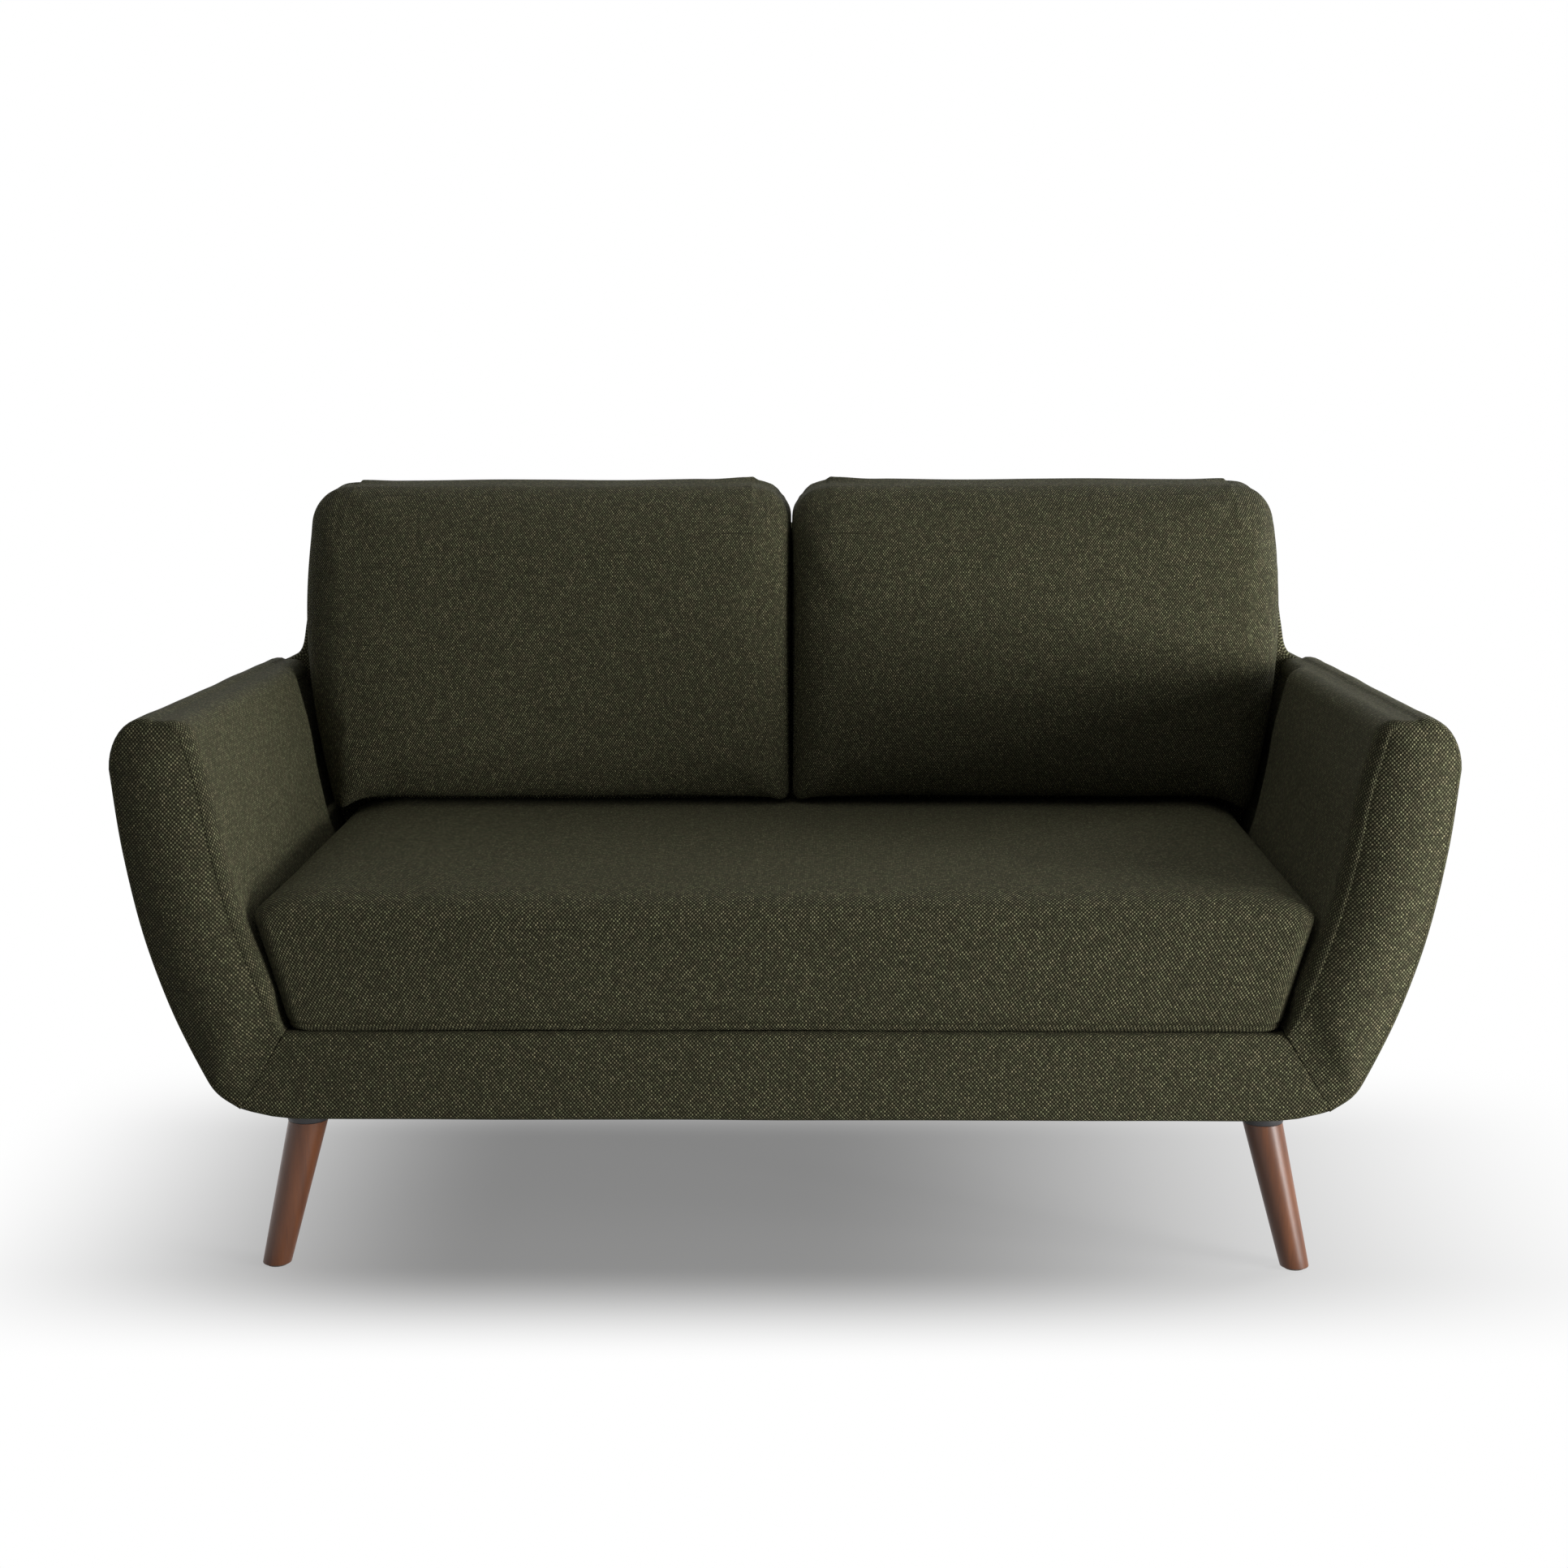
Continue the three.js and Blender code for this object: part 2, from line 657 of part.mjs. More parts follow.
function armCover() {
  const rearEnd = backFrontY(arm_height) + overrun;
  const outer = solid(armLoft((topZ) => armEdge(topZ, 0), front_y, rearEnd));
  const openX = mitre_top_x - overrun;
  const hollow = solid(armLoft((topZ) => armHollow(topZ, cover_thickness, openX),
    front_y + cover_thickness, rearEnd + overrun));
  return surface(outer.subtract(hollow).subtract(mitreCut()).subtract(behindBack(gap)));
}
placePair('arm_cover', armCover(), olive_fabric);

// Arm frames: a front and a rear panel joined by two rails
const panelInset = cover_thickness + gap;
const panelOpenX = frame_half_width + gap;
const panelLipZ = frame_top - cover_thickness;

function armPanel(from) {
  const topZ = armTopZ(from + panel_thickness);
  return prismAlongY(armHollow(topZ, panelInset, panelOpenX, panelLipZ), from, from + panel_thickness);
}

const frontPanelY = front_y + cover_thickness + gap;
const rearPanelY = seat_back_y - gap - panel_thickness;
const armRailY = [frontPanelY + panel_thickness + gap, rearPanelY - gap];
const arm_middle_x = half_width - arm_top_width / 2;
const topRailX = [arm_middle_x - top_rail_width / 2, arm_middle_x + top_rail_width / 2];
const topRailZ = [arm_height - top_rail_drop - top_rail_thickness, arm_height - top_rail_drop];
const lower_rail_x = frame_half_width + lower_rail_setout;
const lower_rail_z = rail_bottom_z + lower_rail_lift;
const lowerRailX = [lower_rail_x, lower_rail_x + lower_rail_width];
const lowerRailZ = [lower_rail_z, lower_rail_z + lower_rail_thickness];
placePair('arm_front_panel', armPanel(frontPanelY), plywood);
placePair('arm_rear_panel', armPanel(rearPanelY), plywood);
placePair('arm_top_rail', block(topRailX, armRailY, topRailZ), plain_timber);
placePair('arm_lower_rail', block(lowerRailX, armRailY, lowerRailZ), plain_timber);

// Back cover: a shell open at its front below the seat deck
function backCover() {
  const wide = [-half_width - overrun, half_width + overrun];
  const deep = [front_y, rear_y + overrun];
  const outer = solid(prismAlongY(backOutline(0), ...deep))
    .intersect(solid(prismAlongX(backSection(0), ...wide)));
  const hollow = solid(prismAlongY(backOutline(cover_thickness), ...deep))
    .intersect(solid(prismAlongX(backSection(cover_thickness), ...wide)));
  const openX = frame_half_width + 2 * gap;
  const openY = [seat_back_y - overrun, seat_back_y + cover_thickness + overrun];
  const openZ = [base_height + cover_thickness + gap, frame_top];
  const opening = solid(block([-openX, openX], openY, openZ));
  const hole = boltHole(leg_ends[1]);
  return surface(outer.subtract(hollow).subtract(opening).subtract(hole).subtract(hole.mirror([1, 0, 0])));
}
place('back_cover', backCover(), olive_fabric);

// Back frame: posts and a top rail behind the webbing
const webbingFront = cover_thickness + gap;
const timberFront = webbingFront + webbing_thickness + gap;

function backTimber(x, fromZ, toZ) {
  const levels = [fromZ, recline_start_height, toZ].filter((z) => z >= fromZ && z <= toZ);
  const front = levels.map((z) => [backFrontY(z) + timberFront, z]).reverse();
  const rear = [fromZ, toZ].map((z) => [backRearY(z) - cover_thickness - gap, z]);
  return prismAlongX([...rear, ...front], x[0], x[1]);
}

const backRailZ = [back_height - back_rail_drop - back_rail_height, back_height - back_rail_drop];
const postZ = [rail_top_z + gap, backRailZ[0] - gap];
const endPostX = [frame_half_width - post_inset - post_thickness, frame_half_width - post_inset];
const centrePostX = [-post_thickness / 2, post_thickness / 2];
const backRailX = [-back_rail_half_length, back_rail_half_length];
place('back_top_rail', backTimber(backRailX, ...backRailZ), plain_timber);
place('back_post_centre', backTimber(centrePostX, ...postZ), plain_timber);
placePair('back_post', backTimber(endPostX, ...postZ), plain_timber);

// A webbing strap's section between two heights, following the back's face
function strap(x, fromZ, toZ) {
  const levels = [fromZ, recline_start_height, toZ].filter((z) => z >= fromZ && z <= toZ);
  const front = levels.map((z) => [backFrontY(z) + webbingFront, z]);
  const rear = levels.map((z) => [backFrontY(z) + webbingFront + webbing_thickness, z]).reverse();
  return solid(prismAlongX([...rear, ...front], x[0], x[1]));
}

function webbing() {
  const fromZ = frame_top + webbing_lift;
  const toZ = backRailZ[1];
  let lattice = strap([-webbing_half_span, -webbing_half_span + webbing_width], fromZ, toZ);
  for (let column = 1; column < webbing_columns; column += 1) {
    const across = column / (webbing_columns - 1);
    const left = -webbing_half_span + (2 * webbing_half_span - webbing_width) * across;
    lattice = lattice.add(strap([left, left + webbing_width], fromZ, toZ));
  }
  for (let row = 0; row < webbing_rows; row += 1) {
    const bottom = fromZ + (toZ - fromZ - webbing_width) * row / (webbing_rows - 1);
    lattice = lattice.add(strap([-webbing_half_span, webbing_half_span], bottom, bottom + webbing_width));
  }
  return surface(lattice);
}
place('back_webbing', webbing(), webbing_cloth);

// Cushions: a rounded outline swept up its sides, over the rounded edges and across the crown.
// Points round a rectangle with rounded corners; each keeps the direction in which it faces
function roundedOutline(halfLength, halfDepth, radius) {
  const corners = [[1, -1], [1, 1], [-1, 1], [-1, -1]];
  const points = [];
  corners.forEach(([sx, sy], corner) => {
    const centre = [sx * (halfLength - radius), sy * (halfDepth - radius)];
    for (let step = 0; step <= corner_steps; step += 1) {
      const angle = (corner - 1 + step / corner_steps) * Math.PI / 2;
      const facing = [Math.cos(angle), Math.sin(angle)];
      points.push({ x: centre[0] + radius * facing[0], y: centre[1] + radius * facing[1], facing });
    }
    const next = corners[(corner + 1) % corners.length];
    const nextStart = [next[0] * (halfLength - radius), next[1] * (halfDepth - radius)];
    const facing = points[points.length - 1].facing;
    const start = points[points.length - 1];
    const end = [nextStart[0] + radius * facing[0], nextStart[1] + radius * facing[1]];
    const steps = corner % 2 ? long_side_steps : short_side_steps;
    for (let step = 1; step < steps; step += 1) {
      const share = step / steps;
      const x = start.x + (end[0] - start.x) * share;
      const y = start.y + (end[1] - start.y) * share;
      points.push({ x, y, facing });
    }
  });
  return points;
}

// Rounding of the edge that a point faces: the sides', the front's or the rear's
function edgeRound(facing, rounds) {
  const end = facing[1] < 0 ? rounds.front : rounds.rear;
  const weight = facing[1] * facing[1];
  return {
    reach: rounds.side.reach + (end.reach - rounds.side.reach) * weight,
    fall: rounds.side.fall + (end.fall - rounds.side.fall) * weight,
  };
}

function cushion({ halfLength, halfDepth, thickness, corner, underRound, rounds, crown, drawIn }) {
  const outlineAt = (inset) => roundedOutline(
    halfLength - inset, halfDepth - inset, Math.max(corner - inset, corner * smallest_corner_share));
  const ring = (inset, height) => outlineAt(inset).map((point) => {
    const pull = drawIn * (1 - inset / halfDepth);
    const along = 1 - Math.min(1, (point.x / halfLength) ** 2);
    const across = 1 - Math.min(1, (point.y / halfDepth) ** 2);
    const x = point.x - point.facing[0] ** 3 * pull * across;
    const y = point.y - point.facing[1] ** 3 * pull * along;
    return new THREE.Vector3(x, y, height(point));
  });
  const widest = Math.max(rounds.side.reach, rounds.front.reach, rounds.rear.reach);
  const topHeight = (point, inset) => {
    const { reach, fall } = edgeRound(point.facing, rounds);
    const left = Math.max(0, 1 - inset / reach);
    const swell = (1 - (point.x / halfLength) ** 4) * (1 - (point.y / halfDepth) ** 4);
    return thickness - fall * (1 - Math.sqrt(1 - left * left)) + crown * swell;
  };
  const under = [halfDepth * under_middle_share, underRound].map((inset) => ring(inset, () => 0));
  const underEdge = [
    ring(underRound * under_edge_share, () => underRound * under_edge_share),
    ring(0, () => underRound),
    ring(0, (point) => (underRound + topHeight(point, 0)) / 2),
  ];
  const topRing = (inset) => ring(inset, (point) => topHeight(point, inset));
  const edge = edge_inset_shares.map((share) => topRing(widest * share));
  const crowned = crown_inset_shares.map((share) => topRing(widest + (halfDepth - widest) * share));
  return loft([...under, ...underEdge, ...edge, ...crowned], flattenDown);
}

function warped(geometry, move) {
  const places = geometry.attributes.position;
  const point = new THREE.Vector3();
  for (let i = 0; i < places.count; i += 1) {
    point.fromBufferAttribute(places, i);
    move(point);
    places.setXYZ(i, point.x, point.y, point.z);
  }
  return geometry;
}

function seatCushion() {
  const bottomZ = frame_top + gap;
  const front = front_y + seat_setback;
  const rear = seat_back_y - gap - seat_setback;
  const thickness = seat_top_height - bottomZ;
  const body = cushion({
    halfLength: seat_width / 2,
    halfDepth: (rear - front) / 2,
    thickness,
    corner: seat_corner_radius,
    underRound: seat_under_round,
    rounds: { side: seat_side_round, front: seat_front_round, rear: seat_rear_round },
    crown: seat_crown,
    drawIn: seat_draw_in,
  });
  const sideEdge = thickness - seat_side_round.fall;
  const narrow = seat_bottom_width / seat_width;
  return warped(body, (point) => {
    point.x *= narrow + (1 - narrow) * Math.min(1, point.z / sideEdge);
  }).translate(0, (front + rear) / 2, bottomZ);
}
place('seat_cushion', seatCushion(), olive_fabric);

// The right back cushion, made lying on its back with its foot towards the front, then stood up;
// its top and foot stay level while its face leans back
function backCushion() {
  const width = back_cushion_reach - back_cushion_parting;
  const body = cushion({
    halfLength: width / 2,
    halfDepth: back_cushion_height / 2,
    thickness: back_cushion_thickness,
    corner: back_cushion_corner_radius,
    underRound: back_cushion_under_round,
    rounds: { side: back_cushion_round, front: back_cushion_foot_round, rear: back_cushion_round },
    crown: back_cushion_crown,
    drawIn: back_cushion_draw_in,
  });
  warped(body, (point) => {
    const up = point.y / back_cushion_height + 1 / 2;
    const out = point.x / width + 1 / 2;
    const bow = 1 - outer_bow_share * (up - outer_widest_share) ** 2;
    point.x = back_cushion_parting + (back_cushion_reach * bow - back_cushion_parting) * out;
    const past = (point.x - back_cushion_reach * bow + corner_droop_width) / corner_droop_width;
    const droop = Math.max(0, Math.min(1, past));
    point.y += back_cushion_height / 2 - corner_droop * droop * droop * (1 - up) ** 4;
  });
  const footZ = seat_top_height + seat_crown + back_cushion_lift;
  const slope = (footZ - recline_start_height) * Math.tan(recline);
  const footY = seat_back_y + slope - gap / Math.cos(recline);
  const stand = new THREE.Matrix4().makeBasis(
    new THREE.Vector3(1, 0, 0),
    new THREE.Vector3(0, Math.sin(recline), Math.cos(recline)),
    new THREE.Vector3(0, -1, 0));
  return body.applyMatrix4(stand).translate(0, footY, footZ);
}
placePair('back_cushion', backCushion(), olive_fabric);

export default group;
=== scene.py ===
"""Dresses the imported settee: upholstery, loose cushions, legs, frame finishes, stage and camera."""
import math

import bmesh
import bpy
import numpy as np
from bpy.props import FloatProperty, FloatVectorProperty, IntProperty, PointerProperty
from mathutils import Matrix, Vector, noise


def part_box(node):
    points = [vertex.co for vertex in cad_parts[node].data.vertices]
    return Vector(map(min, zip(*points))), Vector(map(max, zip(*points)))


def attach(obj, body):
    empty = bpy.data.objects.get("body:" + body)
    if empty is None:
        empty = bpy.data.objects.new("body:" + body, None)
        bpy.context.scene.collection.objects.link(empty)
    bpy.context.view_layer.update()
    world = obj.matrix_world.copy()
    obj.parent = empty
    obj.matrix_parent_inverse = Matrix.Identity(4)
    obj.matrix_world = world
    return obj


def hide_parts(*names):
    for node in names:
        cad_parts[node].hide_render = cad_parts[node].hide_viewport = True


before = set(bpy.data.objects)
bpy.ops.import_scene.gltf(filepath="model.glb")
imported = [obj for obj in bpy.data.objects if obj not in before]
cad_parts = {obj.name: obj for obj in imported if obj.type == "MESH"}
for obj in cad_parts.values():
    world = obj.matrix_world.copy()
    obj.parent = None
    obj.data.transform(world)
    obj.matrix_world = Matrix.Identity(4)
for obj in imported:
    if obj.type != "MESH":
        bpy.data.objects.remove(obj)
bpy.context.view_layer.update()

bl_info = {
    "name": "Two-seat settee",
    "version": (1, 0, 0),
    "blender": (4, 5, 0),
    "location": "View3D > Sidebar > Settee",
    "description": "Upholstery, cushions, legs and stage of a settee with flared padded arms",
    "category": "Object",
}

MM = 0.001

# Places taken from the frame
ARM_LOW, ARM_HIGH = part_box("arm_cover_right")
RAIL_LOW, RAIL_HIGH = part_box("front_rail_cover")
BACK_LOW, BACK_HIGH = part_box("back_cover")
DECK_LOW, DECK_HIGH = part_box("seat_deck_pad")
DUST_LOW, DUST_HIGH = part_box("dust_cover")
COLLAR_LOW, COLLAR_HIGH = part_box("leg_collar_front_right")
GLIDE_LOW, GLIDE_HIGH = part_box("foot_glide_front_right")
HALF_WIDTH = BACK_HIGH.x
FRONT_Y = RAIL_LOW.y
REAR_Y = BACK_HIGH.y
SEAT_BACK_Y = BACK_LOW.y
BASE_Z = RAIL_LOW.z
FRAME_TOP = RAIL_HIGH.z
ARM_HEIGHT = ARM_HIGH.z
BACK_HEIGHT = BACK_HIGH.z
MITRE_FOOT = Vector((RAIL_HIGH.x, BASE_Z + 12.7 * MM))
MITRE_HEAD = Vector((0.579, FRAME_TOP))

# The covers' outlines, as the construction has them
UNDERSIDE_CURVE_WIDTH = 72 * MM
ARM_FOOT_X = MITRE_FOOT.x - 34 * MM
ARM_FALL = 24 * MM
ARM_INNER_X = HALF_WIDTH - 80 * MM
OUTER_ROUND = Vector((43 * MM, 57 * MM))
INNER_ROUND = Vector((18 * MM, 21 * MM))
ARM_OUTER_SHARES = (
    (0, 0), (0.176, 0.048), (0.29, 0.108), (0.531, 0.29), (0.771, 0.529), (0.912, 0.763), (1, 1))
ARM_INNER_SHARES = (
    (0, 0), (0.165, 0.076), (0.335, 0.2), (0.571, 0.414), (0.745, 0.644), (0.84, 0.808), (1, 1))
BACK_TOP_HALF_WIDTH = 600 * MM
SHOULDER_SHARES = (
    (1, 0), (0.98, 0.085), (0.88, 0.17), (0.72, 0.22), (0.585, 0.285), (0.54, 0.44),
    (0.485, 0.69), (0.36, 0.88), (0.18, 0.975), (0, 1))
RECLINE_START_Z = 440 * MM
BACK_TOP_THICKNESS = 46 * MM
RECLINE = math.atan((REAR_Y - BACK_TOP_THICKNESS - SEAT_BACK_Y) / (BACK_HEIGHT - RECLINE_START_Z))
REAR_LEAN = 25 * MM
BACK_TOP_ROUND = 20 * MM


def smooth(value):
    """Rises softly from 0 to 1 as the value does."""
    value = min(1, max(0, value))
    return value * value * (3 - 2 * value)


def spline(points, count):
    """A smooth line through the points, in equal steps of its parameter."""
    ends = [Vector(point) for point in (points[0], *points, points[-1])]
    line = []
    for step in range(count + 1):
        place = step / count * (len(points) - 1)
        run = min(int(place), len(points) - 2)
        share = place - run
        before, start, finish, after = ends[run:run + 4]
        leave, arrive = (finish - before) / 2, (after - start) / 2
        line.append((2 * start - 2 * finish + leave + arrive) * share ** 3
                    + (3 * finish - 3 * start - 2 * leave - arrive) * share ** 2
                    + leave * share + start)
    return line


def quarter(centre, radii, start, count):
    """Points round a quarter of an ellipse, from the start in right angles, without its ends."""
    angles = ((start + step / count) * math.pi / 2 for step in range(1, count))
    return [centre + Vector((radii.x * math.cos(a), radii.y * math.sin(a))) for a in angles]


def outward(line, closed=False):
    """The direction to the right of travel at each point of a line."""
    count = len(line)
    normals = []
    for i in range(count):
        before = line[i - 1] if i or closed else line[i]
        after = line[(i + 1) % count] if i < count - 1 or closed else line[i]
        along = (after - before).normalized()
        normals.append(Vector((along.y, -along.x)))
    return normals


def swollen(line, amounts):
    """The line moved outwards by an amount at each point."""
    return [p + n * amount for p, n, amount in zip(line, outward(line), amounts)]


def run_lengths(line):
    """How far along the line each point lies."""
    lengths = [0.0]
    for before, after in zip(line, line[1:]):
        lengths.append(lengths[-1] + (after - before).length)
    return lengths


def underside_z(x):
    along = max(0, (x - MITRE_FOOT.x) / UNDERSIDE_CURVE_WIDTH + 1)
    return BASE_Z + (MITRE_FOOT.y - BASE_Z) * along * along


def arm_top_z(y):
    return ARM_HEIGHT - ARM_FALL * (y - FRONT_Y) / (SEAT_BACK_Y - FRONT_Y)


def back_front_y(z):
    return SEAT_BACK_Y + max(0, z - RECLINE_START_Z) * math.tan(RECLINE)


def back_rear_y(z):
    rise = BACK_HEIGHT - BACK_TOP_ROUND - BASE_Z
    return REAR_Y - REAR_LEAN + REAR_LEAN * (z - BASE_Z) / rise


def outer_side(top_z, count):
    """Outer side of an arm or of the back, from the mitre's foot to the widest place."""
    rise = top_z - OUTER_ROUND.y - MITRE_FOOT.y
    reach = HALF_WIDTH - MITRE_FOOT.x
    return spline([(MITRE_FOOT.x + reach * out, MITRE_FOOT.y + rise * up)
                   for out, up in ARM_OUTER_SHARES], count)


def inner_side(top_z, count):
    """Inner side of an arm, from the mitre's head up."""
    rise = top_z - INNER_ROUND.y - MITRE_HEAD.y
    reach = ARM_INNER_X - MITRE_HEAD.x
    return spline([(MITRE_HEAD.x + reach * out, MITRE_HEAD.y + rise * up)
                   for out, up in ARM_INNER_SHARES], count)


class Panels:
    """Cloth panels joined into one mesh. Each panel's corners keep their place on the cloth."""

    def __init__(self):
        self.mesh = bmesh.new()
        self.weave = self.mesh.loops.layers.uv.new("weave")
        self.seam = self.mesh.verts.layers.float.new("seam")

    def grid(self, points, cloth, flip=False, keep=None, seam=None):
        """Adds rows of points as quads. cloth gives each point's place on the cloth, in metres."""
        rows, columns = len(points), len(points[0])
        corners = [[self.mesh.verts.new(point) for point in row] for row in points]
        if seam:
            for i, row in enumerate(corners):
                for j, vertex in enumerate(row):
                    vertex[self.seam] = seam(i, j)
        for i in range(rows - 1):
            for j in range(columns - 1):
                if keep and not keep(i, j):
                    continue
                places = [(i, j), (i, j + 1), (i + 1, j + 1), (i + 1, j)]
                if flip:
                    places.reverse()
                face = self.mesh.faces.new([corners[a][b] for a, b in places])
                for loop, (a, b) in zip(face.loops, places):
                    loop[self.weave].uv = cloth[a][b]

    def make(self, name, merge=0.05 * MM):
        """Joins the panels where they meet and returns the finished object."""
        bmesh.ops.remove_doubles(self.mesh, verts=self.mesh.verts, dist=merge)
        loose = [vertex for vertex in self.mesh.verts if not vertex.link_faces]
        bmesh.ops.delete(self.mesh, geom=loose, context="VERTS")
        data = bpy.data.meshes.new(name)
        self.mesh.to_mesh(data)
        self.mesh.free()
        data.shade_smooth()
        piece = bpy.data.objects.new(name, data)
        bpy.context.scene.collection.objects.link(piece)
        return piece


def coordinates(data):
    places = np.empty(len(data.vertices) * 3)
    data.vertices.foreach_get("co", places)
    return places.reshape(-1, 3)


def set_coordinates(data, places):
    data.vertices.foreach_set("co", places.ravel())
    data.update()


def apply_modifiers(piece):
    """Replaces the piece's mesh by what its modifiers make of it."""
    depsgraph = bpy.context.evaluated_depsgraph_get()
    evaluated = piece.evaluated_get(depsgraph)
    data = bpy.data.meshes.new_from_object(evaluated, preserve_all_data_layers=True, depsgraph=depsgraph)
    old = piece.data
    piece.modifiers.clear()
    piece.data = data
    bpy.data.meshes.remove(old)
    data.name = piece.name
    data.shade_smooth()


def thicken(piece, thickness):
    """Gives the cover its foam-backed thickness, towards the inside."""
    shell = piece.modifiers.new("thickness", "SOLIDIFY")
    shell.thickness = thickness
    shell.offset = -1
    apply_modifiers(piece)


def unevenness(piece, amount, width, seed):
    """Moves the surface by soft, seeded waves. Neighbours move together, so seams stay whole."""
    places = coordinates(piece.data)
    shift = Vector((seed, seed * 1.7, seed * 2.3))
    moved = [Vector(place) + amount * noise.noise_vector(Vector(place) / width + shift)
             for place in places]
    set_coordinates(piece.data, np.array(moved))


def mirror_copy(piece, name):
    """The same piece for the other side of the settee."""
    data = piece.data.copy()
    data.name = name
    data.transform(Matrix.Scale(-1, 4, Vector((1, 0, 0))))
    data.flip_normals()
    twin = bpy.data.objects.new(name, data)
    bpy.context.scene.collection.objects.link(twin)
    return twin


def dress(piece, material, body, slot, *nodes):
    """Gives a finished piece its material and the body that it rides on, and hides the nodes that it stands for."""
    piece.data.materials.clear()
    piece.data.materials.append(material)
    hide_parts(*nodes)
    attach(piece, body)
    return piece


# Materials

def wire(tree, kind, inputs=None, **settings):
    """Adds a node with its settings, and fills or links its inputs."""
    node = tree.nodes.new("ShaderNode" + kind)
    for name, value in settings.items():
        setattr(node, name, value)
    for name, value in (inputs or {}).items():
        if isinstance(value, bpy.types.NodeSocket):
            tree.links.new(value, node.inputs[name])
        else:
            node.inputs[name].default_value = value
    return node


def calc(tree, operation, *values, clamp=False):
    """A math node on the values, and its result."""
    node = tree.nodes.new("ShaderNodeMath")
    node.operation = operation
    node.use_clamp = clamp
    for socket, value in zip(node.inputs, values):
        if isinstance(value, bpy.types.NodeSocket):
            tree.links.new(value, socket)
        else:
            socket.default_value = value
    return node.outputs[0]


def ramp(tree, value, low, high, to_low, to_high, smoothly=False):
    """The value mapped from one range to another, and held at the ends."""
    inputs = {"Value": value, "From Min": low, "From Max": high, "To Min": to_low, "To Max": to_high}
    kind = "SMOOTHSTEP" if smoothly else "LINEAR"
    return wire(tree, "MapRange", inputs, interpolation_type=kind).outputs["Result"]


def mix(tree, share, first, second, blend="MIX"):
    """Two colours mixed by a share."""
    node = wire(tree, "Mix", data_type="RGBA", blend_type=blend)
    for socket, value in zip((node.inputs[0], node.inputs[6], node.inputs[7]), (share, first, second)):
        if isinstance(value, bpy.types.NodeSocket):
            tree.links.new(value, socket)
        else:
            socket.default_value = value
    return node.outputs[2]


def new_material(name):
    """A material with an empty Principled shader, and its tree and shader."""
    material = bpy.data.materials.new(name)
    material.use_nodes = True
    tree = material.node_tree
    shader = tree.nodes["Principled BSDF"]
    return material, tree, shader


def shade(tree, shader, links, constants):
    """Links what varies and sets what doesn't on the shader's own sockets."""
    for name, value in links.items():
        tree.links.new(value, shader.inputs[name])
    for name, value in constants.items():
        shader.inputs[name].default_value = value


def cloth_noise(tree, vector, scale, detail=2.0, roughness=0.5):
    inputs = {"Vector": vector, "Scale": scale, "Detail": detail, "Roughness": roughness}
    return wire(tree, "TexNoise", inputs)


